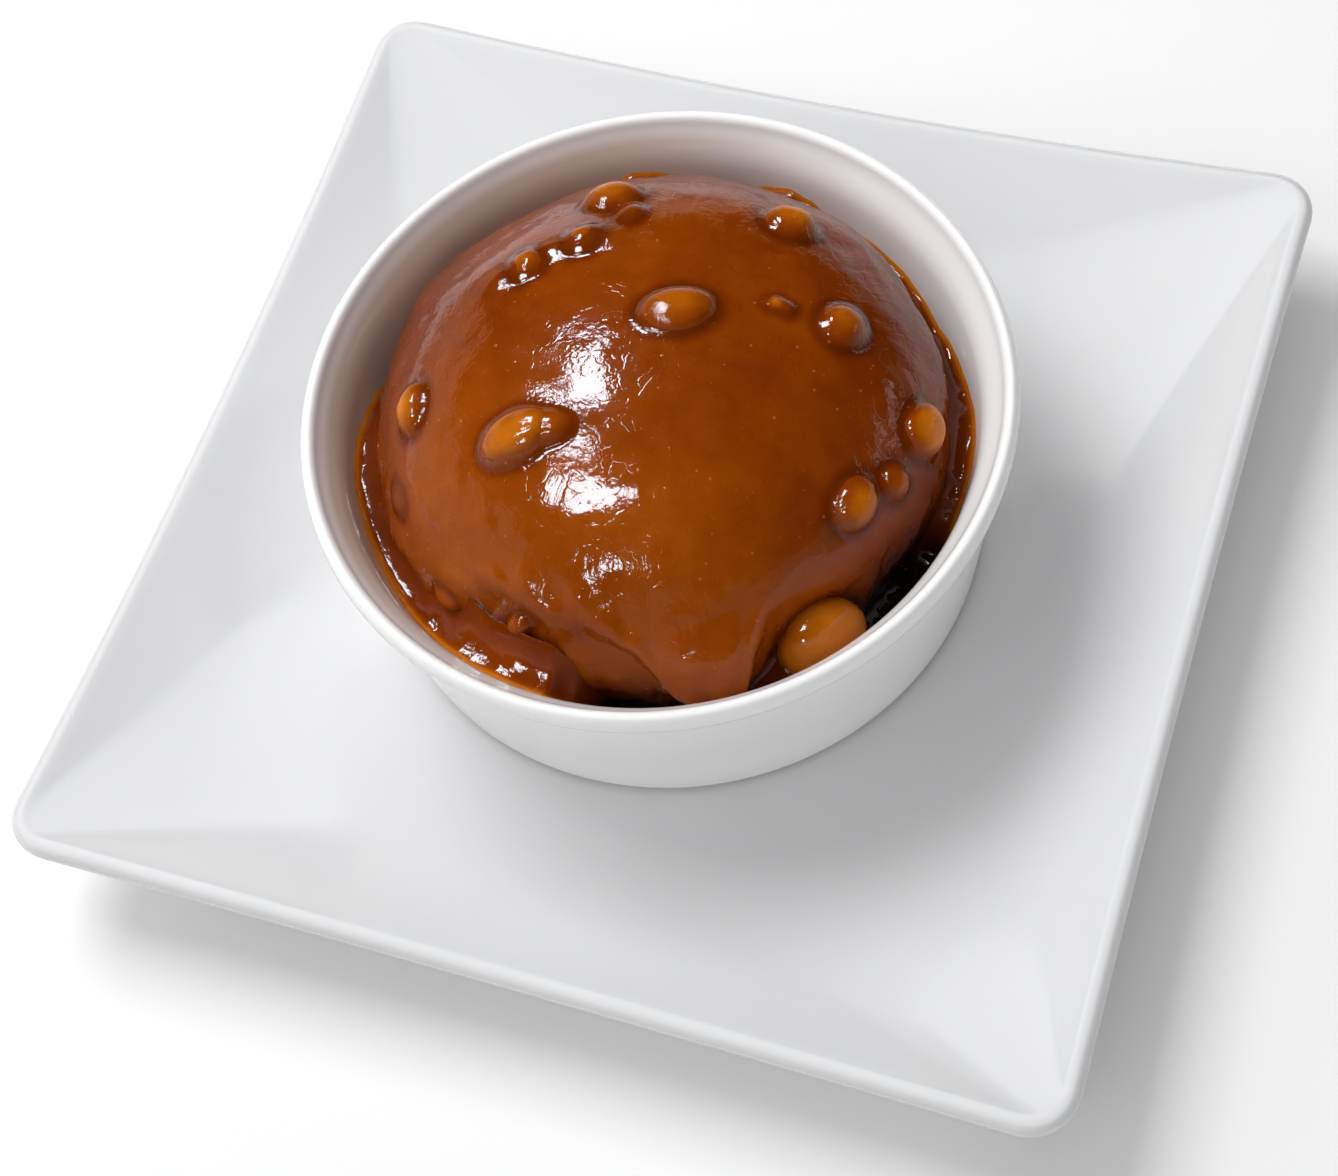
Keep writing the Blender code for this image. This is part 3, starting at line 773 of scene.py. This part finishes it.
def lump_list():
    """Every lump under the gravy, those that are nodes first."""
    lumps = [lump(name, numbers) for name, numbers in PIECES.items()]
    low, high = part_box("piece_at_wall")
    placing = Matrix.Rotation(math.radians(WALL_PIECE_HEADING), 4, "Z")
    placing.translation = (low + high) / 2
    lumps.append(("piece_at_wall", placing, list(WALL_PIECE_HALF)))
    return lumps + [lump(None, numbers) for numbers in SMALL_LUMPS]


def distance_outside(local, half):
    """About how far points are from an ellipsoid about the origin, negative inside it."""
    near = np.linalg.norm(local / half, axis=1)
    slope = np.linalg.norm(local / np.square(half), axis=1)
    return near * (near - 1.0) / np.maximum(slope, 1e-9)


def lump_distance(points, placing, half):
    """About how far points are from a lump, negative inside it."""
    inverse = np.array(placing.inverted())
    return distance_outside(points @ inverse[:3, :3].T + inverse[:3, 3], half)


def height_over_mound(points):
    """About how far each point stands out from the bare mound."""
    local = points - np.array((AXIS.x, AXIS.y, MOUND_WIDEST))
    tall = np.where(local[:, 2] > 0, MOUND_CROWN, MOUND_DRAW_IN)
    wide = np.full(len(points), MOUND_RADIUS)
    return distance_outside(local, np.stack([wide, wide, tall], -1))


def gravy_tone_and_shade(points, skin=0.0):
    """The gravy's tone at points on the mound and on its pieces: paler where thin, a little darker towards
    the outside, with painted shade low down and at the foot, where the sides fall into the shadowed gap by
    the wall.
    """
    raised = height_over_mound(points) - skin
    height = points[:, 2] - MOUND_WIDEST
    _, y, away = from_axis(points)
    front = 0.20 * smooth_step((-y / MOUND_RADIUS - 0.1) / 0.7)
    # Painted shade: darker below the widest ring and darker still at the foot, in the shadowed gap.
    low = 0.34 * smooth_step((2 * MM - height) / (11 * MM))
    foot = 0.30 * smooth_step((-5 * MM - height) / (8 * MM))
    outer = smooth_step((away / MOUND_RADIUS - 0.55) / 0.35)
    thin = (0.34 + 0.20 * outer) * smooth_step((raised - 0.9 * MM) / (2.4 * MM))
    thin = thin * smooth_step((height + 6 * MM) / (6 * MM))
    return 0.55 + front + thin - low - foot - 0.07 * outer


def soft_least(first, second, width):
    """The smaller of two distances, with the join rounded over width."""
    blend = np.clip(0.5 + 0.5 * (second - first) / width, 0.0, 1.0)
    return second + (first - second) * blend - width * blend * (1.0 - blend)


def fold_height(angle):
    """The fold line's height above the widest ring."""
    degrees, heights = zip(*FOLD_LINE)
    return np.interp(np.degrees(angle) % 360.0, degrees, heights) * MM


def crown_ridge(x, y):
    """A ridge that the lumps at the back left are sunk in, with a steep flank towards the crown."""
    angle = np.arctan2(y, x)
    from_flank = np.hypot(x, y) - (16.0 + 8.4 * angle_from(angle, 129)) * MM
    along = smooth_step(angle_from(angle, 108) / 0.35) * smooth_step(angle_from(angle, 178) / -0.25)
    rise = smooth_step(from_flank / (4.2 * MM)) * smooth_step((16 * MM - from_flank) / (12 * MM))
    return 1.25 * along * rise


def noise_down(x, y, height, stretch, scale, offset):
    """Noise that is drawn out up and down, as gravy that ran down the side is."""
    return noise_at(np.stack([x, y, stretch * height], -1), scale, offset)


def broad_lift(points, x, y, away):
    """Swells over the whole coat, livelier towards its outside, with the ridge at the back left."""
    outer = smooth_step((away / MOUND_RADIUS - 0.5) / 0.4)
    lift = (0.12 + 0.16 * outer) * noise_at(points, 9 * MM, 3.1)
    lift = lift + (0.035 + 0.09 * outer) * noise_at(points, 4.2 * MM, 7.7)
    for degrees, distance, radius, rise in SWELLS:
        turn = math.radians(degrees)
        apart = np.hypot(x - distance * MM * math.cos(turn), y - distance * MM * math.sin(turn))
        lift = lift + rise * bell(apart, radius * MM)
    return lift + crown_ridge(x, y)


def full_left(angle, height):
    """The thick gravy that hangs on the left side."""
    full = bell(angle_from(angle, 158), 0.50) * smooth_step((16 * MM - height) / (14 * MM))
    return 2.1 * full * smooth_step((height + 12 * MM) / (9 * MM))


def front_fold(angle, x, y, height):
    """The lip of the thick skin along the fold line and the hollow under it."""
    wave = 1.5 * MM * noise_down(x, y, height, 0.4, 5 * MM, 1.3)
    below = fold_height(angle) + wave - height
    front = smooth_step(angle_from(angle, 238) / 0.35) * smooth_step(angle_from(angle, 322) / -0.35)
    lip = 0.7 * front * bell(below + 0.8 * MM, 1.8 * MM)
    hollow = 1.2 * front * smooth_step((below - 0.2 * MM) / (3.6 * MM))
    return lip, hollow


def front_finger(angle, height):
    """The broad run of gravy that comes down through the fold line."""
    across = np.exp(-((angle_from(angle, -61.5) / 0.17) ** 4))
    finger = across * smooth_step((12.5 * MM - height) / (7 * MM))
    return 2.3 * finger * smooth_step((height + 5.5 * MM) / (4.0 * MM))


def coat_lift(points, angle):
    """How far the gravy stands out from the mound before its lumps."""
    x, y, away = from_axis(points)
    height = points[:, 2] - MOUND_WIDEST
    lift = broad_lift(points, x, y, away) + full_left(angle, height)
    lip, hollow = front_fold(angle, x, y, height)
    lift = lift + lip - hollow + front_finger(angle, height)
    steeper = smooth_step((9 * MM - height) / (10 * MM))
    lift = lift + 0.40 * noise_down(x, y, height, 0.35, 3.4 * MM, 5.5) * steeper
    near = smooth_step((16 * MM - height) / (12 * MM)) * bell(angle_from(angle, -100), 1.1)
    lift = lift + 0.26 * near * noise_down(x, y, height, 0.6, 4.6 * MM, 8.8)
    drawn_in = bell(angle_from(angle, -19), 0.26) * smooth_step((9 * MM - height) / (9 * MM))
    return (lift - 1.7 * drawn_in) * MM


def lower_to_lumps(points, normal, lumps):
    """Lays the skin over the lumps, along its normals.

    Gives the moved points, how far each was lifted and how far it ends up from the nearest lump.
    """
    reach = 7.0 * MM
    lifted = np.zeros(len(points))
    nearest = np.full(len(points), FAR)
    close = np.zeros(len(points), bool)
    for _, placing, half in lumps:
        close |= np.linalg.norm(points - np.array(placing.translation), axis=1) < max(half) + 5 * MM
    chosen = np.flatnonzero(close)
    base, out = points[chosen], normal[chosen]
    height = np.full(len(chosen), reach)
    for _ in range(36):
        place = base + out * height[:, None]
        least = height
        for name, placing, half in lumps:
            if name == "piece_at_wall":
                continue
            shrink = 0.12 * MM if name else 0.0
            distance = lump_distance(place, placing, np.array(half) - shrink)
            least = soft_least(least, distance, LUMP_BLEND)
        height = np.maximum(height - 0.8 * least, 0.0)
    place = base + out * height[:, None]
    lifted[chosen] = height
    nearest[chosen] = np.min([lump_distance(place, placing, half) for _, placing, half in lumps], axis=0)
    return points + normal * lifted[:, None], lifted, nearest


def keep_inside_ramekin(points):
    """Draws points that would pass through the ramekin's wall back to just inside it."""
    x, y, radius = from_axis(points)
    limit = ramekin_inside(points[:, 2] - RAMEKIN_BASE) - COAT_TO_WALL
    limit = np.where(points[:, 2] > RAMEKIN_BASE + UNDER_RIM, FAR, limit)
    share = np.minimum(1.0, limit / np.maximum(radius, 1e-9))
    points[:, 0] = AXIS.x + x * share
    points[:, 1] = AXIS.y + y * share
    return points


def flow_vectors(points):
    """Coordinates that run round the mound and are stretched downhill, for the streaks."""
    x, y, radius = from_axis(points)
    radius = np.maximum(radius, 1 * MM)
    return np.stack([x / radius * MOUND_RADIUS, y / radius * MOUND_RADIUS, points[:, 2] * 0.3], -1)


def steepness(points):
    """How strongly the streaks show, from 0 near the crown to 1 on the sides."""
    _, _, radius = from_axis(points)
    return smooth_step((radius / MOUND_RADIUS - 0.35) / 0.5)


def make_coat(material, lumps):
    """The gravy over the mound and its lumps, closed by a fan under the foot."""
    angle, ring, quads, edge = disc_grid(COAT_RINGS)
    up = ring_ups(COAT_RINGS)[ring]
    points, normal = mound_surface(angle, up)
    skin = coat_lift(points, angle)
    points = points + normal * skin[:, None]
    points, raised, gap = lower_to_lumps(points, normal, lumps)
    points = keep_inside_ramekin(points)
    # Darker in the creases round the lumps: partly gravy pooled there, partly painted shade.
    crease = bell(gap - 0.5 * MM, 1.0 * MM) * (1.0 - smooth_step(raised / (1.2 * MM)))
    tone = gravy_tone_and_shade(points, np.maximum(skin, 0.0)) - 0.24 * crease
    turn, out = math.radians(FLECK[0]), FLECK[1] * MM
    fleck = AXIS + Vector((out * math.cos(turn), out * math.sin(turn), 0.0))
    tone = tone + 0.40 * bell(np.hypot(points[:, 0] - fleck.x, points[:, 1] - fleck.y), 1.0 * MM)
    hub = len(points)
    points = np.concatenate([points, [(AXIS.x, AXIS.y, MOUND_FOOT)]])
    coat = mesh_object("gravy_coat", points, quads + fan_faces(hub, edge), material)
    turn_outwards(coat)
    places = np.array([v.co for v in coat.data.vertices])
    if len(places) != len(points):
        raise RuntimeError("the coat's points were merged")
    store(coat, "tone", np.append(tone, 0.3))
    store(coat, "steep", steepness(places))
    store_vector(coat, "flow", flow_vectors(places))
    return coat


# ---------------------------------------------------------------- pieces under the gravy


def make_piece(name, placing, half, seed, material):
    """A rounded, uneven lump of potato with its skin of gravy."""
    bm = bmesh.new()
    bmesh.ops.create_icosphere(bm, subdivisions=5, radius=1.0)
    directions = np.array([v.co for v in bm.verts])
    x, y, z = directions.T
    uneven = 1.0 + 0.05 * np.sin(2.3 * x + seed) * np.cos(1.9 * y - seed) + 0.04 * np.sin(3 * z + 2 * seed)
    fine = noise_at(directions, 0.7, seed + 0.5)
    local = directions * np.array(half) * (uneven - 0.012 + 0.035 * fine)[:, None]
    matrix = np.array(placing)
    points = keep_inside_ramekin(local @ matrix[:3, :3].T + matrix[:3, 3])
    for vert, point in zip(bm.verts, points):
        vert.co = point
    mesh = bpy.data.meshes.new(name)
    bm.to_mesh(mesh)
    bm.free()
    mesh.shade_smooth()
    mesh.materials.append(material)
    obj = scene_object(name, mesh)
    # The piece at the wall is painted paler than the coat round it, though it stands in shade, and paler
    # still towards its top: painted light.
    tone = gravy_tone_and_shade(points) if name != "coated_piece_at_wall" else 0.89 + 0.04 * directions[:, 2]
    store(obj, "tone", tone + 0.03 * fine)
    store(obj, "steep", 0.35 * np.ones(len(points)))
    store_vector(obj, "flow", flow_vectors(points))
    return obj


def make_pieces(lumps, material):
    """A coated piece for each lump that is a node, by the node's name."""
    made = {}
    for seed, (node, placing, half) in enumerate(lumps):
        if node:
            made[node] = make_piece(f"coated_{node}", placing, half, seed, material)
    return made


# ---------------------------------------------------------------- the pool between mound and wall

POOL_TURN = 720  # points round the pool
POOL_ACROSS = 26  # quads across its surface


def pool_level(angle):
    """The height of the gravy's edge above the ramekin's base round the bowl."""
    degrees = np.degrees(angle) % 360.0
    known = np.array(POOL_LEVELS, float)
    after = np.clip(np.searchsorted(known[:, 0], degrees, side="right"), 1, len(known) - 1)
    start, end = known[after - 1], known[after]
    share = smooth_step((degrees - start[:, 0]) / (end[:, 0] - start[:, 0]))
    return (start[:, 1] + (end[:, 1] - start[:, 1]) * share) * MM


def mound_radius_at(angle, height):
    """The mound's radius at a height above the table."""
    drop = height - MOUND_WIDEST
    half = np.where(drop > 0, MOUND_CROWN, MOUND_DRAW_IN)
    flat = MOUND_RADIUS * np.sqrt(np.maximum(1.0 - (drop / half) ** 2, 0.0))
    return flat + mound_swell(angle, smooth_step(1.0 - drop / MOUND_CROWN))


def pool_top(angle, across):
    """Points of the pool's surface. across runs from 0, inside the mound's skin, to 1 at the wall."""
    edge = pool_level(angle)
    circle = np.stack([np.cos(angle) * 9.0, np.sin(angle) * 9.0, 0.0 * angle], -1)
    wander = 0.12 * MM * noise_at(circle, 1.0, 2.2)
    climb_wall = (0.9 + 0.25 * np.sin(5 * angle + 1.0) + 0.15 * np.sin(13 * angle)) * MM
    level = edge + wander - climb_wall
    wall = ramekin_inside(edge) - POOL_TO_WALL
    inner = mound_radius_at(angle, RAMEKIN_BASE + level) - POOL_IN_MOUND
    radius = inner + (wall - inner) * across
    from_wall = wall - radius
    from_mound = radius - inner - POOL_IN_MOUND
    slope = 0.10 + 0.26 * bell(angle_from(angle, 215), 1.1)
    z = level + climb_wall * np.exp(-from_wall / (0.8 * MM))
    z = z + slope * (from_wall - 0.9 * MM * (1.0 - np.exp(-from_wall / (0.9 * MM))))
    z = z + 0.7 * MM * np.exp(-np.maximum(from_mound, -POOL_IN_MOUND) / (0.9 * MM))
    ripple = noise_at(round_axis(radius, angle, 0.0 * angle), 3.5 * MM, 4.4)
    z = z + 0.16 * MM * ripple * smooth_step(from_wall / (1.2 * MM))
    radius = np.where(across > 0.999, ramekin_inside(z) - POOL_TO_WALL, radius)
    return round_axis(radius, angle, RAMEKIN_BASE + z), from_wall


def make_pool(material):
    """The pool, as rows from under the mound's skin over its surface, down the wall and back on the floor."""
    around = 2 * math.pi * np.arange(POOL_TURN) / POOL_TURN
    shares = 0.5 - 0.5 * np.cos(math.pi * np.linspace(0.0, 1.0, POOL_ACROSS + 1))
    rows, films = [], []
    for share in shares:
        row, from_wall = pool_top(around, share * np.ones(POOL_TURN))
        rows.append(row)
        films.append(np.exp(-((from_wall / (0.85 * MM)) ** 2)))
    floor = RAMEKIN_BASE + FLOOR_THICK + 0.1 * MM
    for share in (0.75, 0.5, 0.25, 0.1, 0.0):
        height = floor + (rows[POOL_ACROSS][:, 2] - floor) * share
        radius = ramekin_inside(height - RAMEKIN_BASE) - POOL_TO_WALL
        rows.append(round_axis(radius, around, height))
        films.append(np.zeros(POOL_TURN))
    inner = rows[0].copy()
    inner[:, 2] = floor
    rows.append(inner)
    films.append(np.zeros(POOL_TURN))
    points = np.concatenate(rows)
    # The row past the last is the first again, which closes the section.
    faces = [[v % len(points) for v in face] for face in loft_faces(len(rows) + 1, POOL_TURN)]
    pool = mesh_object("gravy_round_the_mound", points, faces, material)
    turn_outwards(pool)
    film = np.concatenate(films)
    # Painted shade: the pool is darkened to near black where it lies low in the gap under the mound.
    deep = smooth_step((RAMEKIN_BASE + 19.0 * MM - points[:, 2]) / (7 * MM))
    x, y, _ = from_axis(points)
    tongue = 0.22 * bell(angle_from(np.arctan2(y, x), 257), 0.26)
    store(pool, "tone", (0.36 + tongue + 0.64 * film) * (1.0 - deep))
    store(pool, "steep", 0.5 * np.ones(len(points)))
    store_vector(pool, "flow", flow_vectors(points))
    return pool


# ---------------------------------------------------------------- grains in the skin


def grain_tree(material):
    """Small rounded grains set at random over the incoming surface."""
    numbers = {"Grains per square metre": 1.0e5, "Smallest": 0.1 * MM, "Largest": 0.2 * MM, "Seed": 1}
    group, tree = new_group("skin_grains", "Surface", numbers, "Grains")
    start = tree.add("NodeGroupInput").outputs
    spots = tree.add("GeometryNodeDistributePointsOnFaces", {
        "Mesh": start["Surface"], "Density": start["Grains per square metre"], "Seed": start["Seed"],
    }, distribute_method="RANDOM")
    ball = tree.add("GeometryNodeMeshUVSphere", {"Segments": 8, "Rings": 4, "Radius": 1.0})
    smooth = tree.add("GeometryNodeSetShadeSmooth", {"Geometry": ball.outputs["Mesh"]})
    size = tree.add("FunctionNodeRandomValue", {
        "Min": (0.0, 0.0, 0.0), "Max": (1.0, 1.0, 1.0), "Seed": start["Seed"],
    }, data_type="FLOAT_VECTOR")
    small = tree.math("POWER", tree.split(size.outputs["Value"])["X"], 3.0)
    width = tree.add("ShaderNodeMapRange", {
        "Value": small, "To Min": start["Smallest"], "To Max": start["Largest"],
    })
    placed = tree.add("GeometryNodeInstanceOnPoints", {
        "Points": spots.outputs["Points"], "Instance": smooth.outputs["Geometry"],
        "Rotation": spots.outputs["Rotation"], "Scale": width.outputs["Result"],
    })
    close_group(tree, "Grains", placed.outputs["Instances"], material)
    return group


def make_grains(coat, material):
    """Grains over the part of the coat that stands above the pool."""
    bm = bmesh.new()
    bm.from_mesh(coat.data)
    low = [f for f in bm.faces if f.calc_center_median().z < MOUND_WIDEST]
    bmesh.ops.delete(bm, geom=low, context="FACES")
    for vert in bm.verts:
        vert.co -= vert.normal * 0.06 * MM
    mesh = bpy.data.meshes.new("skin_grains")
    bm.to_mesh(mesh)
    bm.free()
    grains = scene_object("gravy_grains", mesh)
    apply_tree(grains, grain_tree(material), {
        "Grains per square metre": 2.2e5, "Smallest": 0.05 * MM, "Largest": 0.14 * MM, "Seed": 11,
    })
    return grains


# ---------------------------------------------------------------- floor, light and camera

FLOOR_SIZE = 12.0


def make_floor():
    """A floor wide enough for its edge to stay out of low views."""
    bpy.ops.mesh.primitive_plane_add(size=FLOOR_SIZE)
    floor = bpy.context.object
    floor.name = "floor"
    floor.data.materials.append(floor_material())


SCREEN_COLOUR = (1.0, 0.84, 0.60)
BACKDROP_COLOUR = (0.9, 0.9, 0.9)


def make_world():
    """A dark room with warm screens round the table, seen in the gloss, and a pale backdrop past the floor.

    The screens are tallest at the left and the front, and brightest at the left.
    """
    world = bpy.data.worlds.new("studio")
    bpy.context.scene.world = world
    world.use_nodes = True
    world.cycles_visibility.diffuse = False
    tree = Tree(world.node_tree)
    parts = tree.split(tree.add("ShaderNodeTexCoord").outputs["Generated"])
    seen = tree.add("ShaderNodeLightPath").outputs["Is Camera Ray"]
    top = tree.math("MULTIPLY_ADD", parts["X"], -0.12, 0.25)
    top = tree.math("MULTIPLY_ADD", parts["Y"], -0.20, top)
    above = tree.math("SUBTRACT", parts["Z"], top)
    screen = tree.fit(above, 0.0, 0.07, 1.0, 0.0)
    bright = tree.math("MULTIPLY_ADD", parts["X"], -0.25, 0.75)
    light = tree.math("MULTIPLY", screen, bright)
    light = tree.math("MAXIMUM", light, seen)
    colour = tree.mix(seen, SCREEN_COLOUR, BACKDROP_COLOUR)
    background = tree.add("ShaderNodeBackground", {"Color": colour, "Strength": light})
    tree.add("ShaderNodeOutputWorld", {"Surface": background.outputs["Background"]})


def add_softbox(name, direction, distance, width, length, power, turn=0.0, shows=True, lights=True,
                only=None, colour=(1.0, 1.0, 1.0)):
    """An area light that looks at the middle of the food. It shows in the gloss, lights the scene or both."""
    data = bpy.data.lights.new(name, "AREA")
    data.shape = "RECTANGLE"
    data.size = width
    data.size_y = length
    data.energy = power
    data.color = colour
    light = scene_object(name, data)
    away = Vector(direction).normalized()
    target = Vector((AXIS.x, AXIS.y, MOUND_WIDEST))
    light.location = target + away * distance
    side = Vector((math.cos(turn), math.sin(turn), 0.0))
    side = (side - away * side.dot(away)).normalized()
    turned = Matrix((side, away.cross(side), away)).transposed()
    light.rotation_euler = turned.to_euler()
    light.visible_glossy = shows
    light.visible_diffuse = lights
    if only:
        light.light_linking.receiver_collection = only


def collect(name, pieces):
    """A collection outside the scene that a light can be kept to."""
    kept = bpy.data.collections.new(name)
    for piece in pieces:
        kept.objects.link(piece)
    return kept


def panel_power(radiance, width, length):
    """The power that gives a panel of this size this radiance."""
    return radiance * math.pi * width * length


# Low lights round the set: name, direction and power.
FILLS = (
    ("fill_front", (0.1, -0.92, 0.36), 2.2),
    ("fill_near", (0.05, -0.70, 0.75), 2.8),
    ("fill_right", (0.92, -0.1, 0.36), 2.7),
    ("fill_left", (-0.92, 0.0, 0.36), 1.6),
    ("fill_back", (0.0, 0.92, 0.36), 2.0),
)

# The panes of a far window, seen only in the gloss: direction, width and length in metres, turn.
WINDOW_PANES = (
    ((-0.48, 0.28, 0.93), 0.13, 0.28, 0.25),
    ((-0.42, -0.13, 0.93), 0.14, 0.06, 0.1),
    ((-0.29, -0.37, 0.90), 0.25, 0.12, 0.2),
    ((-0.055, -0.76, 0.625), 0.08, 0.05, 0.0),
    ((-0.556, 0.112, 0.824), 0.07, 0.08, 0.3),
)
PANE_RADIANCE = 50.0
PANE_COLOUR = (0.80, 0.92, 1.0)
SKY_RADIANCE = 1.9
SKY_SIZE = 3.0
STRIP_RADIANCE = 2.2
STRIP_SIZE = (0.40, 0.07)


def light_the_set(porcelain, food):
    """A key from the left, an overhead canopy and low fills, with lights that only show in the gloss."""
    add_softbox("key", (-0.50, 0.22, 0.85), 0.8, 0.40, 0.48, 4.3, shows=False)
    add_softbox("canopy", (-0.42, -0.05, 1.0), 1.1, 1.8, 2.2, 9.0, shows=False)
    for name, direction, power in FILLS:
        turn = math.atan2(direction[0], -direction[1])
        add_softbox(name, direction, 1.25, 1.6, 0.7, power, turn, shows=False)
    sky = panel_power(SKY_RADIANCE, SKY_SIZE, SKY_SIZE)
    add_softbox("sky_in_glaze", (-0.1, 0.0, 1.0), 1.2, SKY_SIZE, SKY_SIZE, sky, lights=False, only=porcelain)
    for number, (direction, width, length, turn) in enumerate(WINDOW_PANES):
        power = panel_power(PANE_RADIANCE, width, length)
        add_softbox(f"window_pane_{number}", direction, 0.8, width, length, power, turn, lights=False,
                    only=food, colour=PANE_COLOUR)
    power = panel_power(STRIP_RADIANCE, *STRIP_SIZE)
    add_softbox("edge_strip", (0.85, 0.45, 0.20), 0.8, *STRIP_SIZE, power, 2.06, lights=False, only=food)


CAMERA_TURN = math.radians(31.61)
CAMERA_RISE = math.radians(60.74)
CAMERA_ROLL = math.radians(-14.99)
CAMERA_DISTANCE = 393.06 * MM
CAMERA_TARGET = Vector((-1.0 * MM, -8.33 * MM, WELL_Z))
CAMERA_LENS = 67.03


def make_camera():
    """The camera, looking steeply down at the food from the front right."""
    data = bpy.data.cameras.new("camera")
    data.sensor_width = 36.0
    data.lens = CAMERA_LENS
    data.clip_start = 0.01
    camera = scene_object("camera", data)
    back = Vector((math.sin(CAMERA_TURN) * math.cos(CAMERA_RISE),
                   -math.cos(CAMERA_TURN) * math.cos(CAMERA_RISE), math.sin(CAMERA_RISE)))
    right = Vector((math.cos(CAMERA_TURN), math.sin(CAMERA_TURN), 0.0))
    turned = Matrix((right, back.cross(right), back)).transposed()
    turned = turned @ Matrix.Rotation(CAMERA_ROLL, 3, "Z")
    camera.matrix_world = Matrix.Translation(CAMERA_TARGET + back * CAMERA_DISTANCE) @ turned.to_4x4()
    bpy.context.scene.camera = camera


def declare(piece, slot, *nodes):
    """Hangs a piece on the one body and hides the imported nodes that it stands for. slot is not used."""
    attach(piece, "root")
    if nodes:
        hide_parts(*nodes)


def main():
    scene = bpy.context.scene
    scene.view_settings.view_transform = "Standard"
    scene.view_settings.look = "None"
    plate = make_plate(glaze_material("plate_glaze", PLATE_WHITE, BARE_HEIGHT))
    declare(plate, "plate_glaze", "plate")
    # The ramekin's glaze gets painted shade and painted bounce light on its inner wall.
    glaze = glaze_material("ramekin_glaze", RAMEKIN_WHITE, RAMEKIN_BASE + BARE_HEIGHT, warm=True)
    ramekin = make_ramekin(glaze)
    declare(ramekin, "ramekin_glaze", "ramekin")
    gravy = gravy_material("gravy")
    lumps = lump_list()
    coat = make_coat(gravy, lumps)
    declare(coat, "gravy", "mash_mound")
    pieces = make_pieces(lumps, gravy)
    for node, piece in pieces.items():
        declare(piece, "gravy_on_pieces", node)
    pool = make_pool(gravy)
    declare(pool, "gravy_deep", "gravy_pool")
    grains = make_grains(coat, fleck_material())
    declare(grains, "gravy")
    food = collect("food", [coat, pool, grains, *pieces.values()])
    light_the_set(collect("porcelain", [plate, ramekin]), food)
    make_floor()
    make_world()
    make_camera()


main()
